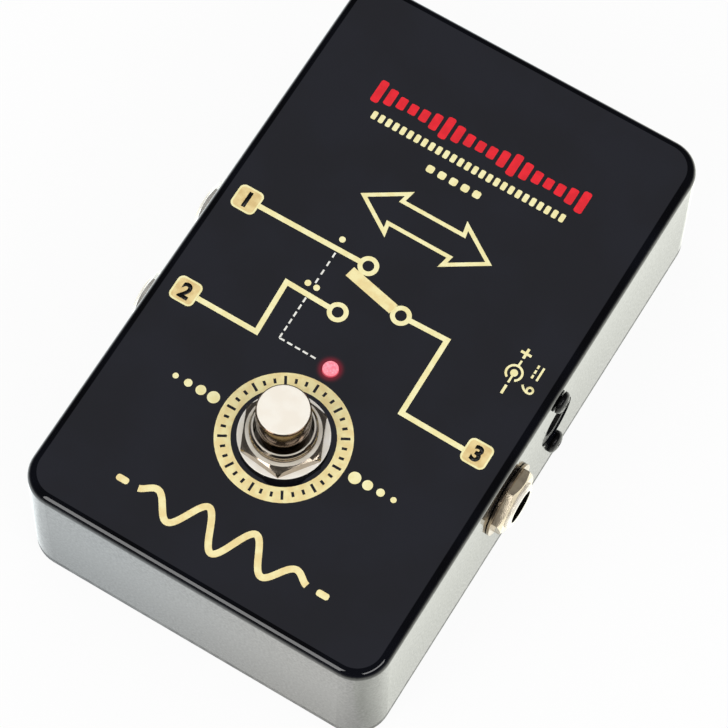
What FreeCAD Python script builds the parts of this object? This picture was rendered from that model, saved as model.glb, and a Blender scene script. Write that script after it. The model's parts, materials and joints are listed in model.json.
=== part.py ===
"""Two-way foot switch box for instrument cables: die-cast case, latching foot switch,
three 6.35 mm jacks, a panel-mounted power jack and a two-colour indicator.

Row frame: origin on the floor under the middle of the case, +X to the right of the player,
+Y away from the player, +Z up. Lengths are millimetres.
"""
import FreeCAD, Part
import math
import os
import Sketcher

V = FreeCAD.Vector

# Driving dimensions: name, value, what it is.
SIZES = [
    # die-cast case and its cover
    ("case_width", 72.0, "outside width at the top face"),
    ("case_length", 117.8, "outside length at the top face"),
    ("case_height", 28.9, "top face down to the joint with the cover"),
    ("case_draft", 0.5, "draft of the side walls, degrees"),
    ("case_corner", 6.4, "outside radius of the four upright corners"),
    ("case_rounding", 1.7, "radius of the rounded top edge"),
    ("case_wall", 2.2, "side wall thickness"),
    ("case_roof", 2.2, "top wall thickness"),
    ("boss_radius", 4.0, "corner boss"),
    ("boss_inset", 5.6, "corner boss axis from the outside of the walls"),
    ("cover_thickness", 1.5, "steel cover"),
    ("cut_past", 1.0, "how far a cut runs past the face that it opens"),
    ("screw_radius", 1.45, "cover screw shank"),
    ("screw_head_radius", 2.6, "cover screw head"),
    ("screw_length", 8.0, "cover screw, over all"),
    ("screw_point", 0.4, "cover screw, chamfered end"),
    ("screw_gap", 0.05, "radial gap round the cover screws"),
    ("foot_radius", 5.5, "stick-on rubber foot"),
    ("foot_height", 2.0, "stick-on rubber foot"),
    ("foot_inset", 14.0, "foot axis from the outside of the walls"),
    ("foot_lip", 0.3, "height of a foot's rounded lower rim"),
    ("foot_taper", 0.4, "what a foot's side leans in above that rim"),
    ("foot_tread", 1.0, "flat of a foot inside its radius"),
    # foot switch
    ("switch_across", -0.6, "switch axis, X"),
    ("switch_forward", -27.3, "switch axis, Y"),
    ("bush_radius", 5.95, "threaded bush, over the thread"),
    ("bush_bore", 5.3, "threaded bush, bore radius"),
    ("bush_stand", 5.3, "bush end above the top face"),
    ("bush_drop", 6.7, "bush shoulder below the top face"),
    ("keyway_width", 1.3, "slot along the bush"),
    ("keyway_depth", 0.45, "slot along the bush"),
    ("keyway_turn", -12.0, "slot along the bush, degrees from X"),
    ("bush_chamfer", 0.35, "outer edge of the bush"),
    ("switch_side", 17.2, "square housing"),
    ("deck_thickness", 2.5, "square base of the bush"),
    ("deck_floor", 0.8, "spring seat inside the base"),
    ("housing_height", 12.3, "moulded housing"),
    ("housing_wall", 1.4, "moulded housing"),
    ("housing_floor", 2.2, "moulded housing"),
    ("strap_thickness", 0.5, "steel strap round the housing"),
    ("strap_width", 14.0, "steel strap round the housing"),
    ("strap_tab", 1.6, "length of the strap's folded tabs"),
    ("cap_radius", 4.85, "button cap"),
    ("cap_top", 12.7, "button cap above the top face"),
    ("cap_skirt", 7.3, "underside of the cap above the top face"),
    ("cap_rounding", 0.45, "rounded edge of the cap"),
    ("cap_chamfer", 0.2, "lower edge of the cap"),
    ("neck_radius", 4.35, "neck under the cap"),
    ("slide_gap", 0.06, "radial running clearance of the button in its bush"),
    ("guide_top", -0.2, "upper face of the button's guide ring"),
    ("guide_thickness", 1.6, "button's guide ring"),
    ("pusher_radius", 1.7, "pusher rod"),
    ("pusher_gap", 0.06, "radial running clearance of the pusher rod"),
    ("pusher_tip", -9.6, "lower end of the pusher at rest"),
    ("travel", 3.8, "full travel of the button"),
    ("coil_radius", 4.2, "return spring, outside"),
    ("coil_wire", 0.5, "return spring wire"),
    ("panel_washer_radius", 8.19, "washer on the top face"),
    ("panel_washer_thickness", 1.0, "washer on the top face"),
    ("switch_nut_flats", 14.0, "hexagon nuts of the bush, across flats"),
    ("switch_nut_thickness", 2.3, "outer nut"),
    ("inner_nut_thickness", 2.0, "inner nut"),
    ("lock_washer_radius", 8.4, "lock washer under the top wall"),
    ("lock_washer_thickness", 0.8, "lock washer under the top wall"),
    ("nut_turn", 46.0, "how far the outer nut is turned, degrees"),
    ("nut_face", 0.96, "round outer face of any nut, share of its width across flats"),
    ("nut_slope", 30.0, "chamfer of any nut's corners, degrees"),
    ("nut_sweep", 1.05, "how far that chamfer's cut reaches, share of the corner radius"),
    ("thread_gap", 0.05, "radial gap that stands for a thread"),
    ("hole_gap", 0.15, "radial gap round a bush in its wall"),
    # contacts inside the switch
    ("pole_pitch", 4.7, "between the three poles"),
    ("throw_pitch", 4.7, "from the common lug to a throw lug"),
    ("lug_width", 2.5, "solder lug"),
    ("lug_thickness", 0.8, "solder lug"),
    ("lug_tail", 4.4, "solder lug below the housing"),
    ("lug_slot_gap", 0.02, "width and thickness of a lug slot over those of the lug"),
    ("blade_width", 2.4, "seesaw contact"),
    ("blade_length", 10.0, "seesaw contact"),
    ("blade_thickness", 0.4, "seesaw contact"),
    ("blade_tilt", 6.0, "seesaw contact at rest, degrees"),
    ("blade_height", 1.0, "seesaw pivot above the housing floor"),
    ("blade_roll", 0.45, "radius of a seesaw's rolled fulcrum"),
    ("blade_overhang", 0.4, "seesaw end past the contact of its lug"),
    ("contact_gap", 0.12, "between a seesaw and its lugs"),
    ("rocker_tilt", 12.0, "rocker at rest, degrees"),
    ("rocker_height", 3.9, "rocker pivot above the housing floor"),
    ("rocker_hub", 1.3, "rocker hub radius"),
    ("rocker_arm", 3.4, "rocker shoulder from the pivot"),
    ("rocker_width", 13.2, "rocker along its pivot"),
    ("rocker_lip", 0.6, "thickness of a shoulder at its end"),
    ("rocker_throat", 0.3, "shoulder's root below the pivot"),
    ("pivot_radius", 0.8, "rocker pivot pins"),
    ("pivot_gap", 0.06, "running clearance of the pivot pins"),
    ("pivot_grip", 0.55, "depth of a pin in the housing wall"),
    ("pivot_end_gap", 0.1, "between the end of a pin and its notch"),
    ("finger_width", 1.4, "rocker finger"),
    ("finger_thickness", 1.0, "rocker finger"),
    ("finger_reach", 2.1, "rocker finger below the pivot"),
    # indicator, circuit board and resistor
    ("lamp_across", -0.4, "indicator axis, X"),
    ("lamp_forward", -12.1, "indicator axis, Y"),
    ("lamp_radius", 1.5, "indicator lens"),
    ("lamp_stand", 1.0, "indicator above the top face"),
    ("lamp_dome", 1.12, "rounded top of the lens"),
    ("lamp_flange", 1.9, "indicator flange radius"),
    ("lamp_flange_height", 1.0, "indicator flange"),
    ("lamp_height", 5.3, "indicator, over all"),
    ("lamp_lead", 0.5, "square lead"),
    ("lamp_pitch", 1.27, "between leads"),
    ("board_thickness", 1.6, "circuit board"),
    ("board_width", 21.0, "circuit board, X"),
    ("board_back", 10.2, "board edge behind the switch axis"),
    ("board_front", 20.4, "board edge in front of the switch axis"),
    ("board_drop", 2.6, "top of the board below the housing"),
    ("lead_past", 0.8, "leads and lugs that stand out under the board"),
    ("slot_gap", 0.15, "round leads and lugs in the board"),
    ("resistor_radius", 1.15, "resistor body"),
    ("resistor_length", 6.3, "resistor body"),
    ("resistor_pitch", 10.0, "between its bent leads"),
    ("resistor_lead", 0.3, "half the side of a resistor lead"),
    ("resistor_lift", 0.1, "resistor body above the board"),
    ("resistor_across", 7.0, "resistor from the switch axis, X"),
    ("resistor_forward", 14.0, "resistor from the switch axis, Y"),
    # signal jacks
    ("jack_depth", 12.7, "jack axes below the top face"),
    ("jack_a_forward", 8.2, "jack A, Y"),
    ("jack_b_forward", -12.7, "jack B, Y"),
    ("jack_c_forward", -12.4, "jack C, Y"),
    ("sleeve_radius", 4.45, "jack bush, over the thread"),
    ("sleeve_bore", 3.2, "jack bore"),
    ("sleeve_stand", 3.0, "jack bush outside the wall"),
    ("sleeve_chamfer", 0.35, "outer edge of the jack bush"),
    ("shoulder_radius", 6.5, "jack shoulder inside the wall"),
    ("shoulder_thickness", 1.2, "jack shoulder"),
    ("frame_thickness", 1.0, "sheet frame of a jack"),
    ("frame_width", 9.0, "sheet frame of a jack"),
    ("frame_drop", 8.0, "underside of the frame below the jack axis"),
    ("frame_rise", 5.8, "top of the frame above the jack axis"),
    ("frame_length", 12.0, "frame behind the shoulder"),
    ("frame_lug", 3.5, "sleeve solder lug"),
    ("frame_lug_width", 3.0, "sleeve solder lug"),
    ("wafer_width", 8.0, "insulating wafer"),
    ("wafer_length", 7.0, "insulating wafer"),
    ("wafer_thickness", 0.8, "insulating wafer"),
    ("wafer_margin", 0.5, "wafer from the end of the frame"),
    ("spring_thickness", 0.35, "tip contact strip"),
    ("spring_width", 4.5, "tip contact strip"),
    ("spring_rise", 2.2, "tip contact below the jack axis, no plug in"),
    ("tip_lug_drop", 3.2, "tip contact's lug below its clamped root"),
    ("tip_lug_reach", 2.4, "tip contact's lug past the wafers"),
    ("tip_lug_bend", 1.2, "first bend of the lug past the wafers"),
    ("tip_lug_slope", 0.8, "height of that bend's slope"),
    ("tip_root", 0.6, "bend of the arm behind the wafers"),
    ("tip_arm", 4.4, "foot of the contact's V behind the wafers"),
    ("tip_arm_drop", 3.0, "foot of the contact's V below its point"),
    ("tip_point", 7.5, "point of the contact's V behind the wafers"),
    ("tip_end", 9.4, "end of the contact behind the wafers"),
    ("tip_end_drop", 1.8, "end of the contact below its point"),
    ("rivet_radius", 0.9, "rivet of the contact stack"),
    ("rivet_head", 1.6, "rivet head radius"),
    ("rivet_head_thickness", 0.5, "rivet head"),
    ("rivet_pitch", 4.0, "between the two rivets"),
    ("rivet_gap", 0.05, "round the rivets"),
    ("side_washer_radius", 7.2, "jack washer"),
    ("side_washer_thickness", 0.5, "jack washer"),
    ("jack_nut_flats", 11.5, "jack nut across flats"),
    ("jack_nut_thickness", 1.7, "jack nut"),
    ("jack_nut_turn", 41.0, "how far the jack nuts are turned, degrees"),
    ("seat_gap", 0.1, "what the draft takes under a flat ring on a side wall"),
    # power jack
    ("power_depth", 14.3, "power jack axis below the top face"),
    ("power_forward", 5.55, "power jack axis, Y"),
    ("power_hole", 5.1, "round opening in the wall"),
    ("power_nose", 4.95, "round nose of the jack"),
    ("power_recess", 0.3, "nose behind the outer wall face"),
    ("power_seat", 0.15, "what the draft takes under the ears"),
    ("power_pitch", 18.6, "between the two screws"),
    ("power_ear", 2.5, "radius of the ears"),
    ("power_ear_thickness", 1.8, "ears"),
    ("power_body_width", 10.0, "power jack housing, Y"),
    ("power_body_height", 11.0, "power jack housing, Z"),
    ("power_body_length", 9.2, "power jack housing behind the ears"),
    ("power_socket", 3.15, "plug cavity"),
    ("power_socket_depth", 9.5, "plug cavity"),
    ("power_pin", 1.0, "centre pin"),
    ("power_pin_short", 0.8, "pin tip behind the nose"),
    ("power_pin_round", 0.5, "rounded part of the pin's tip"),
    ("power_lug_length", 4.0, "power jack lugs"),
    ("power_lug_width", 2.0, "power jack lugs"),
    ("power_lug_thickness", 0.4, "power jack lugs"),
    ("power_lug_low", 3.5, "lower lug below the jack axis"),
    ("power_lug_high", 2.0, "side lugs above the jack axis"),
    ("power_lug_side", 3.0, "side lugs beside the jack axis"),
    ("power_screw_radius", 1.2, "power jack screw"),
    ("power_screw_head", 2.15, "power jack screw head"),
    ("power_screw_dome", 1.3, "power jack screw head height"),
    ("power_screw_rim", 0.35, "straight rim of the screw head, share of its height"),
    ("power_screw_seat", 0.03, "gap under the screw heads"),
    ("power_screw_length", 6.6, "power jack screw under its head"),
    ("power_nut_flats", 4.4, "power jack nut"),
    ("power_nut_thickness", 1.6, "power jack nut"),
    # hook-up wire
    ("wire_radius", 0.6, "over the insulation"),
    ("wire_level", 1.4, "wires that lie along the cover, middle above it"),
    ("wire_bend", 0.45, "share of the shorter run that a bend takes"),
    ("tip_solder", 1.15, "wire's middle off a tip lug, share of the wire's radius"),
    ("frame_solder", 0.9, "wire's middle off a frame lug, share of the wire's radius"),
    ("power_solder", 0.2, "end of a wire past the power jack's lugs"),
]

doc = FreeCAD.newDocument("two_way_switch")
dims = doc.addObject("Spreadsheet::Sheet", "dims")
for row, (alias, number, meaning) in enumerate(SIZES, 1):
    dims.set(f"A{row}", alias)
    dims.set(f"B{row}", str(number))
    dims.set(f"C{row}", meaning)
    dims.setAlias(f"B{row}", alias)
doc.recompute()

# Heights and lengths that follow from the driving dimensions.
JOINT = "(dims.foot_height + dims.cover_thickness)"
TOP = f"({JOINT} + dims.case_height)"
CEILING = f"({TOP} - dims.case_roof)"
WALL_LEAN = "(dims.case_height * tan(dims.case_draft * 1 deg))"
BOSS_X = "(dims.case_width / 2 - dims.boss_inset)"
BOSS_Y = "(dims.case_length / 2 - dims.boss_inset)"
FOOT_X = "(dims.case_width / 2 - dims.foot_inset)"
FOOT_Y = "(dims.case_length / 2 - dims.foot_inset)"
COUNTERSINK = "(dims.screw_head_radius - dims.screw_radius)"
DECK = "(dims.bush_drop + dims.deck_thickness)"
HOUSING_BASE = f"({DECK} + dims.housing_height)"
HOUSING_INSIDE = "(dims.switch_side - 2 * dims.housing_wall)"
FLOOR_TOP = f"({HOUSING_BASE} - dims.housing_floor)"
ROCKER_AXIS = f"({FLOOR_TOP} - dims.rocker_height)"
BLADE_AXIS = f"({FLOOR_TOP} - dims.blade_height)"
SPRING_SEAT = f"({DECK} - dims.deck_floor)"
GUIDE_BASE = "(dims.guide_top - dims.guide_thickness)"
BOARD_TOP = f"({HOUSING_BASE} + dims.board_drop)"
BOARD_BASE = f"({BOARD_TOP} + dims.board_thickness)"
LAMP_BASE = "(dims.lamp_height - dims.lamp_stand)"
SHOULDER_FRONT = "(dims.case_wall + dims.seat_gap)"
SHOULDER_BACK = f"({SHOULDER_FRONT} + dims.shoulder_thickness)"
FRAME_BACK = f"({SHOULDER_BACK} + dims.frame_length)"
WAFER_BACK = f"({FRAME_BACK} - dims.wafer_margin)"
WAFER_FRONT = f"({WAFER_BACK} - dims.wafer_length)"
STRIP_LEVEL = "(dims.frame_drop + dims.wafer_thickness + dims.spring_thickness / 2)"
STACK_BASE = "(dims.frame_drop + 2 * dims.wafer_thickness + dims.spring_thickness)"
EAR_FRONT = "(dims.case_wall + dims.power_seat)"
EAR_BACK = f"({EAR_FRONT} + dims.power_ear_thickness)"
POWER_BACK = f"({EAR_BACK} + dims.power_body_length)"


def value(expression):
    """Number that an expression on the sheet comes to."""
    return float(dims.evalExpression(expression))


def wall_x(depth):
    """Outside of a side wall, from the middle plane, at a depth below the top face."""
    return f"(dims.case_width / 2 + {depth} * tan(dims.case_draft * 1 deg))"


# Sketching helpers


def origin_plane(body, role):
    """Origin plane or axis of a body, by its role."""
    for feature in body.Origin.OriginFeatures:
        if feature.Role == role:
            return feature
    raise LookupError(role)


def new_body(label, base=None, turn=None):
    """Body placed at the expressions in base, turned by a fixed rotation."""
    body = doc.addObject("PartDesign::Body", label)
    body.Label = label
    if turn is not None:
        body.Placement = FreeCAD.Placement(V(0, 0, 0), turn)
    for axis, expression in zip("xyz", base or ()):
        body.setExpression(f"Placement.Base.{axis}", expression)
    return body


def new_sketch(body, name, role="XY_Plane", offset=None):
    """Sketch on one of the body's own origin planes, moved along its normal."""
    sketch = body.newObject("Sketcher::SketchObject", name)
    sketch.AttachmentSupport = [(origin_plane(body, role), "")]
    sketch.MapMode = "FlatFace"
    if offset is not None:
        sketch.setExpression("AttachmentOffset.Base.z", offset)
    return sketch


def bind(sketch, kind, name, expression, *where):
    """Dimension in a sketch, bound to an expression on the sheet."""
    index = sketch.addConstraint(Sketcher.Constraint(kind, *where, value(expression)))
    sketch.renameConstraint(index, name)
    sketch.setExpression(f"Constraints.{name}", expression)


def profile(sketch, points):
    """Closed outline of straight lines through points given as pairs of expressions."""
    start = sketch.GeometryCount
    places = [V(value(x), value(y), 0) for x, y in points]
    count = len(places)
    for i, place in enumerate(places):
        sketch.addGeometry(Part.LineSegment(place, places[(i + 1) % count]), False)
    for i in range(count):
        following = start + (i + 1) % count
        sketch.addConstraint(Sketcher.Constraint("Coincident", start + i, 2, following, 1))
    for i, (x, y) in enumerate(points):
        bind(sketch, "DistanceX", f"across_{start + i}", x, -1, 1, start + i, 1)
        bind(sketch, "DistanceY", f"along_{start + i}", y, -1, 1, start + i, 1)


def rectangle(sketch, low_x, high_x, low_y, high_y):
    """Upright rectangle between four expressions."""
    profile(sketch, [(low_x, low_y), (high_x, low_y), (high_x, high_y), (low_x, high_y)])


def centred_rectangle(sketch, size_x, size_y, x="0", y="0"):
    """Upright rectangle about a centre."""
    rectangle(sketch, f"{x} - {size_x} / 2", f"{x} + {size_x} / 2",
              f"{y} - {size_y} / 2", f"{y} + {size_y} / 2")


def circle(sketch, radius, x="0", y="0"):
    """Circle about a centre."""
    centre = V(value(x), value(y), 0)
    index = sketch.addGeometry(Part.Circle(centre, V(0, 0, 1), value(radius)), False)
    bind(sketch, "Radius", f"radius_{index}", radius, index)
    bind(sketch, "DistanceX", f"across_{index}", x, -1, 1, index, 3)
    bind(sketch, "DistanceY", f"along_{index}", y, -1, 1, index, 3)


def hexagon(sketch, flats, turn="0"):
    """Regular hexagon, across flats, its first corner turned from the X axis in degrees."""
    reach = f"{flats} / sqrt(3)"
    profile(sketch, [(f"{reach} * cos(({turn} + {angle}) * 1 deg)",
                      f"{reach} * sin(({turn} + {angle}) * 1 deg)") for angle in range(0, 360, 60)])


def rounded_rectangle(sketch, span_x, span_y, corner):
    """Rectangle about the origin with four equal rounded corners."""
    x, y, r = value(span_x) / 2, value(span_y) / 2, value(corner)
    sides = [((x - r, y), (r - x, y)), ((-x, y - r), (-x, r - y)),
             ((r - x, -y), (x - r, -y)), ((x, r - y), (x, y - r))]
    centres = [(r - x, y - r), (r - x, r - y), (x - r, r - y), (x - r, y - r)]
    for i, ((near, far), centre) in enumerate(zip(sides, centres)):
        sketch.addGeometry(Part.LineSegment(V(*near, 0), V(*far, 0)), False)
        start = math.radians(90 * (i + 1))
        arc = Part.ArcOfCircle(Part.Circle(V(*centre, 0), V(0, 0, 1), r), start, start + math.pi / 2)
        sketch.addGeometry(arc, False)
    for line in (0, 2, 4, 6):
        sketch.addConstraint(Sketcher.Constraint("Tangent", line, 2, line + 1, 1))
        sketch.addConstraint(Sketcher.Constraint("Tangent", line + 1, 2, (line + 2) % 8, 1))
        sketch.addConstraint(Sketcher.Constraint("Vertical" if line % 4 else "Horizontal", line))
    for arc in (3, 5, 7):
        sketch.addConstraint(Sketcher.Constraint("Equal", 1, arc))
    sketch.addConstraint(Sketcher.Constraint("Symmetric", 1, 3, 5, 3, -1, 1))
    bind(sketch, "Radius", "corner", corner, 1)
    bind(sketch, "DistanceX", "span_x", span_x, 2, 1, 6, 1)
    bind(sketch, "DistanceY", "span_y", span_y, 4, 1, 0, 1)


# Feature helpers


def feature(body, kind, name, sketch, **settings):
    """Sketch-based feature; text settings are expressions, others are set as they are."""
    made = body.newObject(f"PartDesign::{kind}", name)
    made.Profile = sketch
    for key, setting in settings.items():
        if isinstance(setting, str) and key not in ("Type", "SideType"):
            made.setExpression(key, setting)
        else:
            setattr(made, key, setting)
    doc.recompute()
    return made


def pad(body, name, sketch, length, **settings):
    """Pad along the sketch's normal."""
    return feature(body, "Pad", name, sketch, Length=length, **settings)


def pocket(body, name, sketch, length=None, **settings):
    """Pocket against the sketch's normal, through all where no length is given."""
    if length is None:
        return feature(body, "Pocket", name, sketch, Type="ThroughAll", **settings)
    return feature(body, "Pocket", name, sketch, Length=length, **settings)


def revolve(body, name, points, kind="Revolution"):
    """Full turn about the body's Z axis of an outline in radius and height."""
    sketch = new_sketch(body, f"{name}_outline", "XZ_Plane")
    profile(sketch, points)
    made = body.newObject(f"PartDesign::{kind}", name)
    made.Profile = sketch
    made.ReferenceAxis = (sketch, ["V_Axis"])
    made.Angle = 360
    doc.recompute()
    return made


def pattern(body, name, original, moves):
    """Repeat a feature in rows along the body's axes: (axis role, length, count) each."""
    multi = body.newObject("PartDesign::MultiTransform", name)
    multi.Originals = [original]
    rows = []
    for number, (axis, length, count) in enumerate(moves):
        row = body.newObject("PartDesign::LinearPattern", f"{name}_row_{number}")
        row.Direction = (origin_plane(body, axis), [""])
        row.setExpression("Length", length)
        row.Occurrences = count
        rows.append(row)
    multi.Transformations = rows
    body.Tip = multi
    doc.recompute()
    return multi


def edges(shape, test):
    """Names of the edges whose shape passes a test."""
    return [f"Edge{i}" for i, edge in enumerate(shape.Edges, 1) if test(edge)]


def blend(body, kind, name, base, names, size):
    """Fillet or chamfer on named edges of a feature."""
    made = body.newObject(f"PartDesign::{kind}", name)
    made.Base = (base, names)
    made.setExpression("Radius" if kind == "Fillet" else "Size", size)
    doc.recompute()
    return made


def at_height(height):
    """Test for an edge that lies all in one level plane."""
    return lambda edge: max(abs(edge.BoundBox.ZMin - height), abs(edge.BoundBox.ZMax - height)) < 1e-4


def solid_feature(label, shape, base=(0, 0, 0), turn=None):
    """Part::Feature from a ready shape, placed after its shape is set."""
    made = doc.addObject("Part::Feature", label)
    made.Label = label
    made.Shape = shape
    made.Placement = FreeCAD.Placement(V(*base), turn or FreeCAD.Rotation())
    return made


def strip(points, thickness, width):
    """Bent sheet-metal strip, its centre line in the YZ plane, of even width along X."""
    line = Part.makePolygon([V(y, z, 0) for y, z in points])
    face = line.makeOffset2D(thickness / 2, 1, True, False, False)
    shape = face.extrude(V(0, 0, width))
    turn = FreeCAD.Rotation(V(0, 1, 0), V(0, 0, 1), V(1, 0, 0), "ZYX")
    shape.Placement = FreeCAD.Placement(V(-width / 2, 0, 0), turn)
    return shape


# Case and cover


def make_case_shell():
    """Die-cast case, open below: drafted walls, rounded top edge, bosses and panel holes."""
    body = new_body("case_shell")
    outline = new_sketch(body, "outline", offset=TOP)
    rounded_rectangle(outline, "dims.case_width", "dims.case_length", "dims.case_corner")
    block = pad(body, "block", outline, "dims.case_height", TaperAngle="dims.case_draft", Reversed=True)
    rim = edges(block.Shape, at_height(value(TOP)))
    blend(body, "Fillet", "rounded_top", block, rim, "dims.case_rounding")

    inside = new_sketch(body, "inside", offset=CEILING)
    rounded_rectangle(inside, "dims.case_width - 2 * dims.case_wall",
                      "dims.case_length - 2 * dims.case_wall", "dims.case_corner - dims.case_wall")
    pocket(body, "cavity", inside, TaperAngle="dims.case_draft")

    bosses = new_sketch(body, "bosses", offset=JOINT)
    holes = new_sketch(body, "boss_holes", offset=JOINT)
    for side in (-1, 1):
        for end in (-1, 1):
            circle(bosses, "dims.boss_radius", f"{side} * {BOSS_X}", f"{end} * {BOSS_Y}")
            circle(holes, "dims.screw_radius + dims.screw_gap", f"{side} * {BOSS_X}", f"{end} * {BOSS_Y}")
    pad(body, "screw_bosses", bosses, "dims.case_height - dims.case_roof / 2")
    pocket(body, "screw_holes", holes, "dims.screw_length + dims.cut_past", Reversed=True)

    top_holes = new_sketch(body, "top_holes", offset=TOP)
    circle(top_holes, "dims.bush_radius + dims.hole_gap", "dims.switch_across", "dims.switch_forward")
    circle(top_holes, "dims.lamp_radius + dims.hole_gap", "dims.lamp_across", "dims.lamp_forward")
    pocket(body, "top_openings", top_holes, "dims.case_roof + dims.cut_past")

    for side, jacks in ((-1, ("a", "b")), (1, ("c",))):
        wall_holes = new_sketch(body, f"wall_holes_{'left' if side < 0 else 'right'}", "YZ_Plane",
                                offset=f"{side} * (dims.case_width / 2 - 2 * dims.case_wall)")
        for jack in jacks:
            circle(wall_holes, "dims.sleeve_radius + dims.hole_gap",
                   f"dims.jack_{jack}_forward", f"{TOP} - dims.jack_depth")
        if side > 0:
            level = f"{TOP} - dims.power_depth"
            circle(wall_holes, "dims.power_hole", "dims.power_forward", level)
            for end in (-1, 1):
                circle(wall_holes, "dims.power_screw_radius + dims.hole_gap", "dims.power_forward",
                       f"{level} + {end} * dims.power_pitch / 2")
        pocket(body, f"wall_openings_{'left' if side < 0 else 'right'}", wall_holes,
               "4 * dims.case_wall", Reversed=side > 0)


def make_cover():
    """Flat steel cover with countersunk corner holes."""
    body = new_body("base_plate")
    outline = new_sketch(body, "outline", offset="dims.foot_height")
    rounded_rectangle(outline, f"dims.case_width + 2 * {WALL_LEAN}",
                      f"dims.case_length + 2 * {WALL_LEAN}", f"dims.case_corner + {WALL_LEAN}")
    pad(body, "sheet", outline, "dims.cover_thickness")
    holes = new_sketch(body, "holes", offset="dims.foot_height")
    sinks = new_sketch(body, "countersinks", offset="dims.foot_height")
    for side in (-1, 1):
        for end in (-1, 1):
            place = (f"{side} * {BOSS_X}", f"{end} * {BOSS_Y}")
            circle(holes, "dims.screw_radius + dims.screw_gap", *place)
            circle(sinks, "dims.screw_head_radius + dims.screw_gap", *place)
    pocket(body, "through_holes", holes, Reversed=True)
    pocket(body, "countersunk", sinks, COUNTERSINK, TaperAngle=-45, Reversed=True)


def make_cover_screws():
    """Four countersunk screws that hold the cover to the bosses."""
    body = new_body("base_screws", (f"-{BOSS_X}", f"-{BOSS_Y}", "dims.foot_height"))
    shank = revolve(body, "screw", [
        ("0", "0"), ("dims.screw_head_radius", "0"), ("dims.screw_radius", COUNTERSINK),
        ("dims.screw_radius", "dims.screw_length - dims.screw_point"),
        ("dims.screw_radius - dims.screw_point", "dims.screw_length"), ("0", "dims.screw_length")])
    pattern(body, "four_screws", shank, [("X_Axis", f"2 * {BOSS_X}", 2), ("Y_Axis", f"2 * {BOSS_Y}", 2)])


def make_feet():
    """Four rubber feet stuck under the cover."""
    body = new_body("rubber_feet", (f"-{FOOT_X}", f"-{FOOT_Y}", "0"))
    foot = revolve(body, "foot", [
        ("0", "0"), ("dims.foot_radius - dims.foot_tread", "0"),
        ("dims.foot_radius - dims.foot_taper", "dims.foot_lip"),
        ("dims.foot_radius", "dims.foot_height"), ("0", "dims.foot_height")])
    pattern(body, "four_feet", foot, [("X_Axis", f"2 * {FOOT_X}", 2), ("Y_Axis", f"2 * {FOOT_Y}", 2)])


# Washers and nuts


def make_washer(label, inner, outer, thickness, base, turn=None):
    """Flat ring that stands on its local XY plane."""
    body = new_body(label, base, turn)
    sketch = new_sketch(body, "ring")
    circle(sketch, inner)
    circle(sketch, outer)
    pad(body, "flat_ring", sketch, thickness)


def make_nut(label, flats, bore, thickness, base, turn=None, twist="0"):
    """Hexagon nut with its outer corners chamfered."""
    body = new_body(label, base, turn)
    sketch = new_sketch(body, "outline")
    hexagon(sketch, flats, twist)
    pad(body, "hexagon", sketch, thickness)
    hole = new_sketch(body, "bore", offset=thickness)
    circle(hole, bore)
    pocket(body, "threaded_bore", hole)
    inner, outer = f"dims.nut_face * {flats} / 2", f"dims.nut_sweep * {flats} / sqrt(3)"
    slope = f"({outer} - {inner}) * tan(dims.nut_slope * 1 deg)"
    revolve(body, "corner_chamfer",
            [(inner, thickness), (outer, thickness), (outer, f"{thickness} - {slope}")],
            kind="Groove")


# Foot switch, in a frame whose origin is on its axis at the top face


SWITCH_PLACE = ("dims.switch_across", "dims.switch_forward", TOP)


def make_switch_bush():
    """Die-cast bush with its square base: thread outside, slide bore and spring seat inside."""
    body = new_body("switch_bush", SWITCH_PLACE)
    deck = new_sketch(body, "deck", offset=f"-{DECK}")
    centred_rectangle(deck, "dims.switch_side", "dims.switch_side")
    pad(body, "square_base", deck, "dims.deck_thickness")
    tube = new_sketch(body, "tube", offset="-dims.bush_drop")
    circle(tube, "dims.bush_radius")
    stem = pad(body, "threaded_tube", tube, "dims.bush_drop + dims.bush_stand")
    blend(body, "Chamfer", "tube_chamfer", stem,
          edges(stem.Shape, at_height(value("dims.bush_stand"))), "dims.bush_chamfer")
    bore = new_sketch(body, "bore", offset="dims.bush_stand")
    circle(bore, "dims.bush_bore")
    pocket(body, "slide_bore", bore, f"dims.bush_stand + {SPRING_SEAT}")
    guide = new_sketch(body, "guide", offset="dims.bush_stand")
    circle(guide, "dims.pusher_radius + dims.pusher_gap")
    pocket(body, "pusher_guide", guide)
    key = new_sketch(body, "key", offset="dims.bush_stand")
    cosine, sine = "cos(dims.keyway_turn * 1 deg)", "sin(dims.keyway_turn * 1 deg)"
    near, far = "(dims.bush_radius - dims.keyway_depth)", "(dims.bush_radius + dims.keyway_depth)"
    half = "dims.keyway_width / 2"
    profile(key, [(f"{reach} * {cosine} - {side} * {half} * {sine}",
                   f"{reach} * {sine} + {side} * {half} * {cosine}")
                  for reach, side in ((near, -1), (far, -1), (far, 1), (near, 1))])
    pocket(body, "keyway", key, "dims.bush_stand + dims.bush_drop")


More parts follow.
